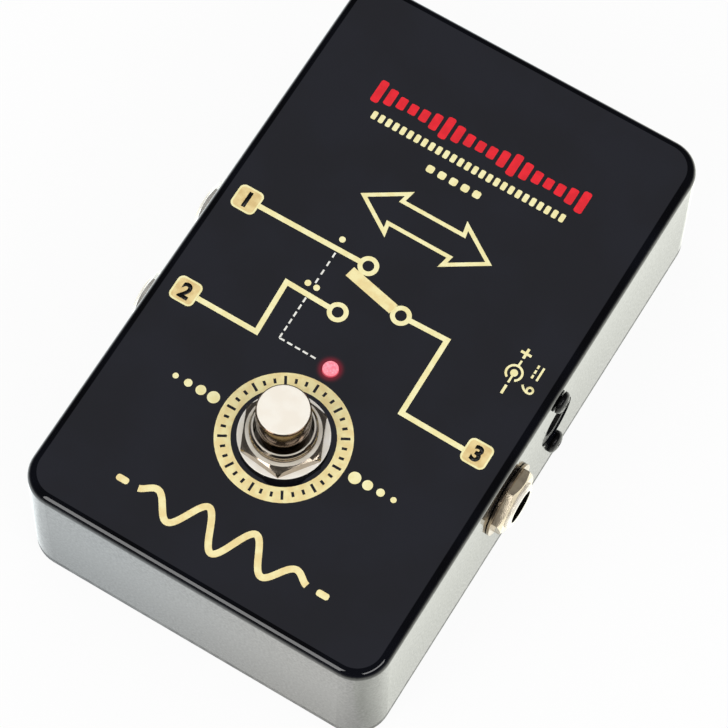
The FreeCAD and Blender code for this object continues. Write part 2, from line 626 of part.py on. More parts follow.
def make_switch_housing():
    """Moulded housing, open towards the bush, with open notches for the rocker's pins."""
    body = new_body("switch_housing", SWITCH_PLACE)
    base = new_sketch(body, "base", offset=f"-{HOUSING_BASE}")
    centred_rectangle(base, "dims.switch_side", "dims.switch_side")
    pad(body, "block", base, "dims.housing_height")
    inside = new_sketch(body, "inside", offset=f"-{DECK}")
    centred_rectangle(inside, HOUSING_INSIDE, HOUSING_INSIDE)
    pocket(body, "cavity", inside, f"{FLOOR_TOP} - {DECK}")
    width = "(dims.pivot_radius + dims.pivot_gap)"
    reach = f"{HOUSING_INSIDE} + 2 * (dims.pivot_grip + dims.pivot_end_gap)"
    notch = new_sketch(body, "notch", "YZ_Plane")
    rectangle(notch, f"-{width}", width, f"-{ROCKER_AXIS}", f"-{DECK} + dims.cut_past")
    pocket(body, "pin_notches", notch, reach, SideType="Symmetric")
    seat = new_sketch(body, "pin_seat", "YZ_Plane")
    circle(seat, width, "0", f"-{ROCKER_AXIS}")
    pocket(body, "pin_seats", seat, reach, SideType="Symmetric")
    slots = new_sketch(body, "lug_slots", offset=f"-{FLOOR_TOP}")
    for pole in (-1, 0, 1):
        for throw in (-1, 0, 1):
            centred_rectangle(slots, "(dims.lug_width + dims.lug_slot_gap)",
                              "(dims.lug_thickness + dims.lug_slot_gap)",
                              f"{pole} * dims.pole_pitch", f"{throw} * dims.throw_pitch")
    pocket(body, "lug_slots_cut", slots)


def make_switch_strap():
    """Steel strap over the base, down two sides and folded under the housing."""
    body = new_body("switch_strap", SWITCH_PLACE)
    half, sheet = "dims.switch_side / 2", "dims.strap_thickness"
    over, under = "-dims.bush_drop", f"-{HOUSING_BASE}"
    tab = f"({half} - dims.strap_tab)"
    outline = new_sketch(body, "outline", "YZ_Plane")
    profile(outline, [
        (f"-{half}", over), (half, over), (half, under), (tab, under), (tab, f"{under} - {sheet}"),
        (f"{half} + {sheet}", f"{under} - {sheet}"), (f"{half} + {sheet}", f"{over} + {sheet}"),
        (f"-{half} - {sheet}", f"{over} + {sheet}"), (f"-{half} - {sheet}", f"{under} - {sheet}"),
        (f"-{tab}", f"{under} - {sheet}"), (f"-{tab}", under), (f"-{half}", under)])
    pad(body, "bent_sheet", outline, "dims.strap_width", SideType="Symmetric")
    hole = new_sketch(body, "hole", offset="0")
    circle(hole, "dims.bush_radius + dims.thread_gap")
    pocket(body, "bush_hole", hole, "dims.bush_drop + dims.cut_past")


def make_switch_cap():
    """Plated button: domed cap, neck and guide ring."""
    body = new_body("switch_cap", SWITCH_PLACE)
    guide = "dims.bush_bore - dims.slide_gap"
    turned = revolve(body, "button", [
        ("0", GUIDE_BASE), (guide, GUIDE_BASE), (guide, "dims.guide_top"),
        ("dims.neck_radius", "dims.guide_top"), ("dims.neck_radius", "dims.cap_skirt"),
        ("dims.cap_radius - dims.cap_chamfer", "dims.cap_skirt"),
        ("dims.cap_radius", "dims.cap_skirt + dims.cap_chamfer"),
        ("dims.cap_radius", "dims.cap_top"), ("0", "dims.cap_top")])
    blend(body, "Fillet", "rounded_cap", turned,
          edges(turned.Shape, at_height(value("dims.cap_top"))), "dims.cap_rounding")


def make_switch_pusher():
    """Moulded rod under the button, which reaches down to the rocker."""
    body = new_body("switch_pusher", SWITCH_PLACE)
    rod = new_sketch(body, "rod", offset=GUIDE_BASE)
    circle(rod, "dims.pusher_radius")
    pad(body, "round_rod", rod, f"{GUIDE_BASE} - dims.pusher_tip", Reversed=True)


def make_switch_spring():
    """Return spring as the sleeve that its turns fill."""
    make_washer("switch_spring", "dims.coil_radius - dims.coil_wire", "dims.coil_radius",
                f"{GUIDE_BASE} + {SPRING_SEAT}",
                ("dims.switch_across", "dims.switch_forward", f"{TOP} - {SPRING_SEAT}"))


def make_switch_rocker():
    """Moulded rocker: hub with two shoulders, pivot pins and a finger for each pole."""
    turn = FreeCAD.Rotation(V(1, 0, 0), value("dims.rocker_tilt"))
    body = new_body("switch_rocker", ("dims.switch_across", "dims.switch_forward",
                                      f"{TOP} - {ROCKER_AXIS}"), turn)
    body.setExpression("Placement.Rotation.Angle", "dims.rocker_tilt")
    arm, hub = "dims.rocker_arm", "dims.rocker_hub"
    lip, throat = f"{hub} - dims.rocker_lip", "-dims.rocker_throat"
    side = new_sketch(body, "side", "YZ_Plane")
    profile(side, [
        (f"-{arm}", hub), (f"-{arm}", lip), (f"-{hub}", throat), (f"-{hub} / 2", f"-{hub}"),
        (f"{hub} / 2", f"-{hub}"), (hub, throat), (arm, lip), (arm, hub)])
    pad(body, "cradle", side, "dims.rocker_width", SideType="Symmetric")
    pins = new_sketch(body, "pins", "YZ_Plane")
    circle(pins, "dims.pivot_radius")
    pad(body, "pivot_pins", pins, f"{HOUSING_INSIDE} + 2 * dims.pivot_grip", SideType="Symmetric")
    fingers = new_sketch(body, "fingers")
    for pole in (-1, 0, 1):
        centred_rectangle(fingers, "dims.finger_width", "dims.finger_thickness",
                          f"{pole} * dims.pole_pitch")
    pad(body, "three_fingers", fingers, "dims.finger_reach", Reversed=True)


def make_switch_blades():
    """Three seesaw contacts, each with a rolled fulcrum, tilted on their common lugs."""
    turn = FreeCAD.Rotation(V(1, 0, 0), value("-dims.blade_tilt"))
    body = new_body("switch_blades", ("dims.switch_across", "dims.switch_forward",
                                      f"{TOP} - {BLADE_AXIS}"), turn)
    body.setExpression("Placement.Rotation.Angle", "-dims.blade_tilt")
    sketch = new_sketch(body, "blades")
    for pole in (-1, 0, 1):
        centred_rectangle(sketch, "dims.blade_width", "dims.blade_length", f"{pole} * dims.pole_pitch")
    pad(body, "three_blades", sketch, "dims.blade_thickness")
    roll = new_sketch(body, "roll", "YZ_Plane", offset="-dims.pole_pitch - dims.blade_width / 2")
    circle(roll, "dims.blade_roll")
    fulcrum = pad(body, "fulcrum", roll, "dims.blade_width")
    pattern(body, "three_fulcrums", fulcrum, [("X_Axis", "2 * dims.pole_pitch", 3)])


def make_switch_lugs():
    """Nine solder lugs: a taller common lug in each pole, a throw lug on either side."""
    body = new_body("switch_lugs", SWITCH_PLACE)
    foot = f"({HOUSING_BASE} + dims.lug_tail)"
    blade_half = "(dims.blade_length / 2 + dims.blade_overhang)"
    throw_drop = f"{BLADE_AXIS} + {blade_half} * sin(dims.blade_tilt * 1 deg)"
    commons = new_sketch(body, "common_lugs", offset=f"-{foot}")
    throws = new_sketch(body, "throw_lugs", offset=f"-{foot}")
    for pole in (-1, 0, 1):
        across = f"{pole} * dims.pole_pitch"
        centred_rectangle(commons, "dims.lug_width", "dims.lug_thickness", across)
        for throw in (-1, 1):
            centred_rectangle(throws, "dims.lug_width", "dims.lug_thickness",
                              across, f"{throw} * dims.throw_pitch")
    pad(body, "three_commons", commons, f"{foot} - {BLADE_AXIS} - dims.blade_roll - dims.contact_gap")
    pad(body, "six_throws", throws, f"{foot} - ({throw_drop}) - dims.contact_gap")


def make_switch_hardware():
    """Nuts and washers that clamp the bush to the top wall."""
    x, y = "dims.switch_across", "dims.switch_forward"
    bore = "dims.bush_radius + dims.thread_gap"
    make_washer("switch_washer", bore, "dims.panel_washer_radius", "dims.panel_washer_thickness",
                (x, y, TOP))
    make_nut("switch_nut", "dims.switch_nut_flats", bore, "dims.switch_nut_thickness",
             (x, y, f"{TOP} + dims.panel_washer_thickness"), twist="dims.nut_turn")
    make_washer("switch_lock_washer", bore, "dims.lock_washer_radius", "dims.lock_washer_thickness",
                (x, y, f"{CEILING} - dims.lock_washer_thickness"))
    down = FreeCAD.Rotation(V(1, 0, 0), 180)
    make_nut("switch_inner_nut", "dims.switch_nut_flats", bore, "dims.inner_nut_thickness",
             (x, y, f"{CEILING} - dims.lock_washer_thickness"), down, "dims.nut_turn")


# Indicator and circuit board


def make_lamp():
    """Two-colour indicator: moulded lens with its flange, and three leads down to the board."""
    place = ("dims.lamp_across", "dims.lamp_forward", TOP)
    body = new_body("led_lens", place)
    turned = revolve(body, "lens", [
        ("0", f"-{LAMP_BASE}"), ("dims.lamp_flange", f"-{LAMP_BASE}"),
        ("dims.lamp_flange", f"-{LAMP_BASE} + dims.lamp_flange_height"),
        ("dims.lamp_radius", f"-{LAMP_BASE} + dims.lamp_flange_height"),
        ("dims.lamp_radius", "dims.lamp_stand"), ("0", "dims.lamp_stand")])
    blend(body, "Fillet", "dome", turned, edges(turned.Shape, at_height(value("dims.lamp_stand"))),
          "dims.lamp_dome")
    leads = new_body("led_leads", place)
    sketch = new_sketch(leads, "leads", offset=f"-{LAMP_BASE}")
    for lead in (-1, 0, 1):
        centred_rectangle(sketch, "dims.lamp_lead", "dims.lamp_lead", f"{lead} * dims.lamp_pitch")
    pad(leads, "three_leads", sketch, f"{BOARD_BASE} + dims.lead_past - {LAMP_BASE}", Reversed=True)


def make_board():
    """Circuit board that the switch lugs and the indicator leads pass through."""
    body = new_body("circuit_board", SWITCH_PLACE)
    outline = new_sketch(body, "outline", offset=f"-{BOARD_BASE}")
    rectangle(outline, "-dims.board_width / 2", "dims.board_width / 2",
              "-dims.board_back", "dims.board_front")
    pad(body, "board", outline, "dims.board_thickness")
    slots = new_sketch(body, "slots", offset=f"-{BOARD_TOP}")
    for pole in (-1, 0, 1):
        for throw in (-1, 0, 1):
            centred_rectangle(slots, "(dims.lug_width + 2 * dims.slot_gap)",
                              "(dims.lug_thickness + 2 * dims.slot_gap)",
                              f"{pole} * dims.pole_pitch", f"{throw} * dims.throw_pitch")
    for lead in (-1, 0, 1):
        centred_rectangle(slots, "(dims.lamp_lead + dims.slot_gap)", "(dims.lamp_lead + dims.slot_gap)",
                          f"dims.lamp_across - dims.switch_across + {lead} * dims.lamp_pitch",
                          "dims.lamp_forward - dims.switch_forward")
    for end in (-1, 1):
        centred_rectangle(slots, "2 * (dims.resistor_lead + dims.slot_gap)",
                          "2 * (dims.resistor_lead + dims.slot_gap)", "dims.resistor_across",
                          f"dims.resistor_forward + {end} * dims.resistor_pitch / 2")
    pocket(body, "lug_and_lead_slots", slots)


def make_resistor():
    """Series resistor on the board, its leads bent down through it."""
    lead, body_radius = value("dims.resistor_lead"), value("dims.resistor_radius")
    half, reach = value("dims.resistor_pitch / 2"), value("dims.resistor_length / 2")
    level = body_radius + value("dims.resistor_lift")
    below = -value("dims.board_thickness + dims.lead_past")
    barrel = Part.makeCylinder(body_radius, 2 * reach, V(0, -reach, level), V(0, 1, 0))
    side = 2 * lead
    along = Part.makeBox(side, 2 * half + side, side, V(-lead, -half - lead, level - lead))
    legs = [Part.makeBox(side, side, level + lead - below, V(-lead, end * half - lead, below))
            for end in (-1, 1)]
    shape = barrel.fuse([along] + legs).removeSplitter()
    place = (value("dims.switch_across + dims.resistor_across"),
             value("dims.switch_forward + dims.resistor_forward"), value(f"{TOP} - {BOARD_TOP}"))
    solid_feature("led_resistor", shape.Solids[0], place)


# Signal jacks, in a frame whose +Z is the jack axis outwards, +Y up, origin at the wall face


SIDE_TURN = {
    1: FreeCAD.Rotation(V(0, 1, 0), V(0, 0, 1), V(1, 0, 0), "ZYX"),
    -1: FreeCAD.Rotation(V(0, -1, 0), V(0, 0, 1), V(-1, 0, 0), "ZYX"),
}


def make_jack_frame(label, place, turn):
    """Threaded bush with its shoulder, riveted to a bent sheet frame with the sleeve lug."""
    body = new_body(label, place, turn)
    shoulder = new_sketch(body, "shoulder", offset=f"-{SHOULDER_BACK}")
    circle(shoulder, "dims.shoulder_radius")
    pad(body, "round_shoulder", shoulder, "dims.shoulder_thickness")
    tube = new_sketch(body, "tube", offset=f"-{SHOULDER_FRONT}")
    circle(tube, "dims.sleeve_radius")
    stem = pad(body, "threaded_tube", tube, f"{SHOULDER_FRONT} + dims.sleeve_stand")
    blend(body, "Chamfer", "mouth_chamfer", stem,
          edges(stem.Shape, at_height(value("dims.sleeve_stand"))), "dims.sleeve_chamfer")
    side = new_sketch(body, "frame_side", "YZ_Plane")
    face, back = f"-{SHOULDER_BACK}", f"-{SHOULDER_BACK} - dims.frame_thickness"
    low, inner = "-dims.frame_drop", "-dims.frame_drop + dims.frame_thickness"
    profile(side, [
        ("dims.frame_rise", face), (low, face), (low, f"-{FRAME_BACK}"), (inner, f"-{FRAME_BACK}"),
        (inner, back), ("dims.frame_rise", back)])
    pad(body, "bent_frame", side, "dims.frame_width", SideType="Symmetric")
    lug = new_sketch(body, "lug", "YZ_Plane")
    rectangle(lug, f"{low} - dims.frame_lug", inner, back, face)
    pad(body, "sleeve_lug", lug, "dims.frame_lug_width", SideType="Symmetric")
    bore = new_sketch(body, "bore", offset="dims.sleeve_stand")
    circle(bore, "dims.sleeve_bore")
    pocket(body, "plug_bore", bore)
    rivets = new_sketch(body, "rivet_holes", "XZ_Plane",
                        offset="dims.frame_drop - 2 * dims.frame_thickness")
    for end in (-1, 1):
        circle(rivets, "dims.rivet_radius + dims.rivet_gap", "0",
               f"-({WAFER_FRONT} + {WAFER_BACK}) / 2 + {end} * dims.rivet_pitch / 2")
    pocket(body, "rivet_holes_cut", rivets, "3 * dims.frame_thickness", Reversed=True)


def make_jack_wafers(label, place, turn):
    """Two insulating wafers, one on each side of the tip contact."""
    body = new_body(label, place, turn)
    for name, level in (("upper", "dims.frame_drop"),
                        ("lower", "(dims.frame_drop + dims.wafer_thickness + dims.spring_thickness)")):
        sketch = new_sketch(body, f"{name}_outline", "XZ_Plane", offset=level)
        rectangle(sketch, "-dims.wafer_width / 2", "dims.wafer_width / 2",
                  f"-{WAFER_BACK}", f"-{WAFER_FRONT}")
        for end in (-1, 1):
            circle(sketch, "dims.rivet_radius + dims.rivet_gap", "0",
                   f"-({WAFER_FRONT} + {WAFER_BACK}) / 2 + {end} * dims.rivet_pitch / 2")
        pad(body, f"{name}_wafer", sketch, "dims.wafer_thickness")


def make_jack_rivets(label, place, turn):
    """Two rivets through frame, wafers and contact."""
    body = new_body(label, place, turn)
    middle = f"-({WAFER_FRONT} + {WAFER_BACK}) / 2"
    grip = f"({STACK_BASE} - dims.frame_drop + dims.frame_thickness)"
    inner = "(dims.frame_drop - dims.frame_thickness)"
    for name, radius, level, length in (
            ("head", "dims.rivet_head", f"{inner} - dims.rivet_head_thickness", "dims.rivet_head_thickness"),
            ("shank", "dims.rivet_radius", inner, grip),
            ("tail", "dims.rivet_head", STACK_BASE, "dims.rivet_head_thickness")):
        sketch = new_sketch(body, f"{name}_outline", "XZ_Plane", offset=level)
        for end in (-1, 1):
            circle(sketch, radius, "0", f"{middle} + {end} * dims.rivet_pitch / 2")
        pad(body, f"{name}s", sketch, length)


def make_jack_contact(label, place, turn):
    """Tip contact: solder lug, clamped root, long arm and a V that meets the plug's tip."""
    level = -value(STRIP_LEVEL)
    front, back = -value(WAFER_FRONT), -value(WAFER_BACK)
    reach = -value("dims.spring_rise")
    lug_end, slope_end, bend = (front + value(f"dims.tip_lug_{name}") for name in
                                ("reach", "reach - dims.tip_lug_slope / 2", "bend"))
    lug, slope = (level - value(f"dims.tip_lug_{name}") for name in ("drop", "slope"))
    root, foot, point, end = (back - value(f"dims.tip_{name}") for name in ("root", "arm", "point", "end"))
    points = [(lug, lug_end), (slope, slope_end), (level, bend), (level, root),
              (reach - value("dims.tip_arm_drop"), foot), (reach, point),
              (reach - value("dims.tip_end_drop"), end)]
    shape = strip(points, value("dims.spring_thickness"), value("dims.spring_width"))
    shape = Part.makeCompound([shape]).Solids[0]
    middle = (front + back) / 2
    radius = value("dims.rivet_radius + dims.rivet_gap")
    drill = 4 * value("dims.spring_thickness")
    for side in (-1, 1):
        centre = V(0, level - drill / 2, middle + side * value("dims.rivet_pitch") / 2)
        shape = shape.cut(Part.makeCylinder(radius, drill, centre, V(0, 1, 0)))
    solid_feature(label, shape.Solids[0], [value(part) for part in place], turn)


def make_jack(letter, side):
    """One signal jack with its nut and washer; side is +1 on the right wall, -1 on the left."""
    turn = SIDE_TURN[side]
    forward, level = f"dims.jack_{letter}_forward", f"{TOP} - dims.jack_depth"
    place = (f"{side} * {wall_x('dims.jack_depth')}", forward, level)
    make_jack_frame(f"jack_{letter}_frame", place, turn)
    make_jack_wafers(f"jack_{letter}_wafers", place, turn)
    make_jack_rivets(f"jack_{letter}_rivets", place, turn)
    make_jack_contact(f"jack_{letter}_tip_contact", place, turn)
    bore = "dims.sleeve_radius + dims.thread_gap"
    seat = f"({wall_x('dims.jack_depth')} + dims.seat_gap)"
    make_washer(f"jack_{letter}_washer", bore, "dims.side_washer_radius", "dims.side_washer_thickness",
                (f"{side} * {seat}", forward, level), turn)
    make_nut(f"jack_{letter}_nut", "dims.jack_nut_flats", bore, "dims.jack_nut_thickness",
             (f"{side} * ({seat} + dims.side_washer_thickness)", forward, level), turn,
             "dims.jack_nut_turn")


# Power jack, in the same kind of frame


POWER_PLACE = (wall_x("dims.power_depth"), "dims.power_forward", f"{TOP} - dims.power_depth")


def make_power_housing():
    """Moulded power jack: nose in the wall, two ears behind it and the socket."""
    body = new_body("dc_jack_housing", POWER_PLACE, SIDE_TURN[1])
    plate = new_sketch(body, "ears", offset=f"-{EAR_BACK}")
    centred_rectangle(plate, "2 * dims.power_ear", "dims.power_pitch")
    pad(body, "ear_plate", plate, "dims.power_ear_thickness")
    ends = new_sketch(body, "ear_ends", offset=f"-{EAR_BACK}")
    for end in (-1, 1):
        circle(ends, "dims.power_ear", "0", f"{end} * dims.power_pitch / 2")
    pad(body, "round_ears", ends, "dims.power_ear_thickness")
    box = new_sketch(body, "box", offset=f"-{POWER_BACK}")
    centred_rectangle(box, "dims.power_body_width", "dims.power_body_height")
    pad(body, "rear_box", box, "dims.power_body_length + dims.power_ear_thickness")
    nose = new_sketch(body, "nose", offset=f"-{EAR_FRONT}")
    circle(nose, "dims.power_nose")
    pad(body, "round_nose", nose, f"{EAR_FRONT} - dims.power_recess")
    socket = new_sketch(body, "socket", offset="-dims.power_recess")
    circle(socket, "dims.power_socket")
    pocket(body, "plug_socket", socket, "dims.power_socket_depth")
    holes = new_sketch(body, "ear_holes", offset=f"-{EAR_FRONT}")
    for end in (-1, 1):
        circle(holes, "dims.power_screw_radius + dims.hole_gap", "0", f"{end} * dims.power_pitch / 2")
    pocket(body, "screw_holes", holes)


def make_power_pin():
    """Centre pin of the power jack, rounded at its tip."""
    body = new_body("dc_jack_pin", POWER_PLACE, SIDE_TURN[1])
    base = "-(dims.power_recess + dims.power_socket_depth)"
    tip = "-(dims.power_recess + dims.power_pin_short)"
    revolve(body, "pin", [("0", base), ("dims.power_pin", base),
                          ("dims.power_pin", f"{tip} - dims.power_pin_round"),
                          ("dims.power_pin - dims.power_pin_round", tip), ("0", tip)])


def make_power_lugs():
    """Three solder lugs behind the power jack."""
    body = new_body("dc_jack_lugs", POWER_PLACE, SIDE_TURN[1])
    sketch = new_sketch(body, "lugs", offset=f"-{POWER_BACK}")
    for across, up, wide in (("0", "-dims.power_lug_low", True),
                             ("-dims.power_lug_side", "dims.power_lug_high", False),
                             ("dims.power_lug_side", "dims.power_lug_high", False)):
        sizes = ("dims.power_lug_width", "dims.power_lug_thickness")
        centred_rectangle(sketch, *(sizes if wide else sizes[::-1]), across, up)
    pad(body, "three_lugs", sketch, "dims.power_lug_length", Reversed=True)


def make_power_screws():
    """Two dome-headed screws from outside, with a nut behind each ear."""
    level = f"{TOP} - dims.power_depth"
    lean = "dims.power_pitch / 2 * tan(dims.case_draft * 1 deg)"
    place = (f"{POWER_PLACE[0]} + {lean} + dims.power_screw_seat", "dims.power_forward",
             f"{level} - dims.power_pitch / 2")
    body = new_body("dc_jack_screws", place, SIDE_TURN[1])
    head, dome, rim = "dims.power_screw_head", "dims.power_screw_dome", "dims.power_screw_rim"
    turned = revolve(body, "screw", [
        ("0", "-dims.power_screw_length"), ("dims.power_screw_radius", "-dims.power_screw_length"),
        ("dims.power_screw_radius", "0"), (head, "0"),
        *((f"{head} * cos({turn} deg)", f"{dome} * ({rim} + (1 - {rim}) * sin({turn} deg))")
          for turn in (0, 30, 60)),
        ("0", dome)])
    pattern(body, "two_screws", turned, [("Y_Axis", "dims.power_pitch", 2)])
    nuts = new_body("dc_jack_nuts", (f"{POWER_PLACE[0]} - {EAR_BACK}", place[1], place[2]), SIDE_TURN[1])
    sketch = new_sketch(nuts, "hexagon")
    hexagon(sketch, "dims.power_nut_flats")
    block = pad(nuts, "nut", sketch, "dims.power_nut_thickness", Reversed=True)
    pattern(nuts, "two_nuts", block, [("Y_Axis", "dims.power_pitch", 2)])
    bore = new_sketch(nuts, "bores")
    for end in (0, 1):
        circle(bore, "dims.power_screw_radius + dims.thread_gap", "0", f"{end} * dims.power_pitch")
    pocket(nuts, "threaded_bores", bore)


# Hook-up wire


def wire_tube(points, radius):
    """Insulated wire: straight runs joined by tangent arcs, as large as the runs allow."""
    points = [V(*point) for point in points]
    pieces, start, radii = [], points[0], []
    for before, corner, after in zip(points, points[1:], points[2:]):
        incoming, outgoing = (corner - before), (after - corner)
        turn = incoming.getAngle(outgoing)
        setback = value("dims.wire_bend") * min(incoming.Length, outgoing.Length)
        incoming.normalize()
        outgoing.normalize()
        enter, leave = corner - incoming * setback, corner + outgoing * setback
        inward = (outgoing - incoming).normalize()
        bend = setback / math.tan(turn / 2)
        middle = corner + inward * (bend / math.cos(turn / 2) - bend)
        pieces.append(Part.LineSegment(start, enter).toShape())
        pieces.append(Part.Arc(enter, middle, leave).toShape())
        radii.append(round(bend, 1))
        start = leave
    pieces.append(Part.LineSegment(start, points[-1]).toShape())
    path = Part.Wire(pieces)
    along = points[1] - points[0]
    sides = 6
    ring = Part.makePolygon([V(radius * math.cos(a), radius * math.sin(a), 0)
                             for a in (math.tau * k / sides for k in range(sides + 1))])
    ring.Placement = FreeCAD.Placement(points[0], FreeCAD.Rotation(V(0, 0, 1), along))
    tube = path.makePipeShell([Part.Wire(ring.Edges)], True, False)
    section = sides * math.sin(math.tau / sides) / 2 * radius ** 2
    print("wire radii", radii, "length", round(path.Length, 1),
          "volume ratio", round(tube.Volume / (section * path.Length), 4))
    return Part.Solid(tube) if tube.ShapeType == "Shell" else tube.Solids[0]


def make_wires():
    """Hook-up wires from the lugs to the board, clear of the plugs' space."""
    radius = value("dims.wire_radius")
    top = value(TOP)
    under, over = value(f"{TOP} - {BOARD_BASE}") - radius, value(f"{TOP} - {BOARD_TOP}") + radius
    low = value(f"{JOINT} + dims.wire_level")
    switch_x, switch_y = value("dims.switch_across"), value("dims.switch_forward")
    lamp_x, lamp_y = value("dims.lamp_across"), value("dims.lamp_forward")
    tip_x = value(f"{wall_x('dims.jack_depth')} - {WAFER_FRONT} + dims.tip_lug_reach")
    tip_z = (top - value(f"dims.jack_depth + {STRIP_LEVEL} + dims.tip_lug_drop")
             - value("dims.tip_solder") * radius)
    sleeve_x = value(f"{wall_x('dims.jack_depth')} - {SHOULDER_BACK} - dims.frame_thickness / 2")
    sleeve_z = (top - value("dims.jack_depth + dims.frame_drop + dims.frame_lug")
                - value("dims.frame_solder") * radius)
    jack_a, jack_b, jack_c = (value(f"dims.jack_{letter}_forward") for letter in "abc")
    power_x = value(f"{POWER_PLACE[0]} - {POWER_BACK} - dims.power_lug_length - dims.power_solder")
    power_y, power_z = value("dims.power_forward"), top - value("dims.power_depth")
    routes = {
        "wire_a": [(-tip_x, jack_a, tip_z), (-29.5, 4.5, low), (-25.5, -1.5, low + 0.1),
                   (-18.5, -10.5, low + 0.2), (-11.8, -15.5, low), (-8.4, -19.1, low),
                   (switch_x - 7.2, switch_y + 4.7, under)],
        "wire_b": [(-tip_x, jack_b, tip_z), (-29, -15.5, low), (-24.5, -19.5, low + 0.1),
                   (-17, -22.3, low), (-12, -23.3, low + 0.1), (switch_x - 7.2, switch_y + 2.3, under)],
        "wire_c": [(tip_x, jack_c, tip_z), (29, -15.3, low), (24.4, -19.4, low + 0.1),
                   (17, -22.2, low), (11.8, -23.4, low + 0.1), (switch_x + 7.4, switch_y + 2.3, under)],
        "wire_ground": [(sleeve_x, jack_c + 0.6, sleeve_z), (30.5, -8.2, low), (25.4, -4.2, low + 0.1),
                        (18.2, -3.2, low), (11.6, -4.4, low + 0.1), (7.0, -6.3, low),
                        (lamp_x + 3.8, lamp_y + 3.3, under)],
        "wire_dc_plus": [(power_x, power_y - 3, power_z + 2), (12.6, 0.6, 19), (7.6, -4.2, 13.2),
                         (lamp_x + 4, lamp_y + 3.6, over)],
        "wire_dc_minus": [(power_x, power_y, power_z - 3.5), (12.2, 4.6, 14.2), (5.2, 1.2, 12.6),
                          (-0.6, -4, 10.4), (lamp_x - 4, lamp_y + 3.6, over)],
    }
    for label, points in routes.items():
        solid_feature(label, wire_tube(points, radius))


make_case_shell()
make_cover()
make_cover_screws()
make_feet()
make_switch_bush()
make_switch_housing()
make_switch_strap()
make_switch_cap()
make_switch_pusher()
make_switch_spring()
make_switch_rocker()
make_switch_blades()
make_switch_lugs()
make_switch_hardware()
make_lamp()
make_board()
make_resistor()
make_jack("a", -1)
make_jack("b", -1)
make_jack("c", 1)
make_power_housing()
make_power_pin()
make_power_lugs()
make_power_screws()
make_wires()
doc.recompute()

# Every object must have recomputed, and every sub-part must be a valid solid, before export.
for item in doc.Objects:
    if "Invalid" in item.State or "Error" in item.State:
        raise RuntimeError(f"{item.Name} in {item.getParentGroup()} failed: {item.State}")
sub_parts = [item for item in doc.Objects if item.TypeId in ("PartDesign::Body", "Part::Feature")]
for item in sub_parts:
    if item.Shape.isNull() or not item.Shape.isValid() or not item.Shape.Solids:
        raise RuntimeError(f"{item.Label} has no valid solid")

os.makedirs("parts", exist_ok=True)
for item in sub_parts:
    item.Shape.exportStep(f"parts/{item.Label}.step")
print(len(sub_parts), "sub-parts,", sum(len(item.Shape.Solids) for item in sub_parts), "solids")
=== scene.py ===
"""Looks of a two-way foot switch box: finishes, printed panel, threads, recesses, light and camera.

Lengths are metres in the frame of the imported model: X right, Y away from the player, Z up.
Colours are written as 8-bit screen values and turned into light values once, by Colour.
"""
import json
import logging
import math
from dataclasses import dataclass, field
from enum import Enum
from typing import Any, Iterable, Sequence

import bmesh
import bpy
from mathutils import Matrix, Vector

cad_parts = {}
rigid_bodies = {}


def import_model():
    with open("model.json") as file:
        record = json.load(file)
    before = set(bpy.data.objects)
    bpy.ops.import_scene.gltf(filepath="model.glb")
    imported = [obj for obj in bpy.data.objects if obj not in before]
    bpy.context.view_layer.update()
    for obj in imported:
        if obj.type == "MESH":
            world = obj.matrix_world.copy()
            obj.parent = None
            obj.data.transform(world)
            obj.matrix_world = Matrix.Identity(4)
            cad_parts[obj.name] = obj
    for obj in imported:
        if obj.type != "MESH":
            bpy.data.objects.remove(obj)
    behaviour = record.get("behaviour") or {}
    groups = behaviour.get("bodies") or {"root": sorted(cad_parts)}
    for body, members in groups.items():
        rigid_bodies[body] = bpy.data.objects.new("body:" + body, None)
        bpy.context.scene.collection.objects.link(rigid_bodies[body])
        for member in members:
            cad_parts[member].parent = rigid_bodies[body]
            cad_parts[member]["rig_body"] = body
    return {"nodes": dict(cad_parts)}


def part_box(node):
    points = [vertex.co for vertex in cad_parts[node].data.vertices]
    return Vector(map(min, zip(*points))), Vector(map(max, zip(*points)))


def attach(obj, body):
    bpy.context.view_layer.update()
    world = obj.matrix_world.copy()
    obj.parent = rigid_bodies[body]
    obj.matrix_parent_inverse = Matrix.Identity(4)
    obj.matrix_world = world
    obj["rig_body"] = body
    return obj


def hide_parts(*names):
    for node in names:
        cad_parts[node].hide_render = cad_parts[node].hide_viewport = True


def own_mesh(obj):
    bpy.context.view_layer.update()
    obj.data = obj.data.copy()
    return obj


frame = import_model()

MM = 0.001
LOG = logging.getLogger("foot_switch_box")

Point = tuple[float, float]
Place = tuple[float, float, float]

# Corners of a CAD node's loose triangles that lie this close are one.
WELD = 0.0001 * MM

# Parts of a noise's range over which a finish goes from its first value to its second.
COLOUR_BAND: Point = (0.35, 0.65)
GLOSS_BAND: Point = (0.3, 0.7)
WHITE_LIGHT = (1.0, 1.0, 1.0, 1.0)


class Slot(Enum):
    """Material slots of the record that new pieces take their finish from."""

    CASE = "case_paint"
    COVER = "cover_paint"
    ZINC = "zinc_plate"
    FOOT = "foot_rubber"
    NICKEL = "nickel"
    CHROME = "chrome"
    PHENOLIC = "phenolic"
    NYLON = "white_nylon"
    SPRING = "spring_steel"
    CONTACT = "silvered_copper"
    LAMP = "lamp_lens"
    TINNED = "tinned_wire"
    BOARD = "board_green"
    RESISTOR = "resistor_coat"
    PLASTIC = "black_plastic"
    SCREW = "black_screw"
    BRASS = "brass_rivet"
    YELLOW = "wire_yellow"
    BLUE = "wire_blue"
    WHITE = "wire_white"
    BLACK = "wire_black"
    RED = "wire_red"


class Axis(Enum):
    """Axis of the frame, as an index into a coordinate."""

    X = 0
    Y = 1
    Z = 2


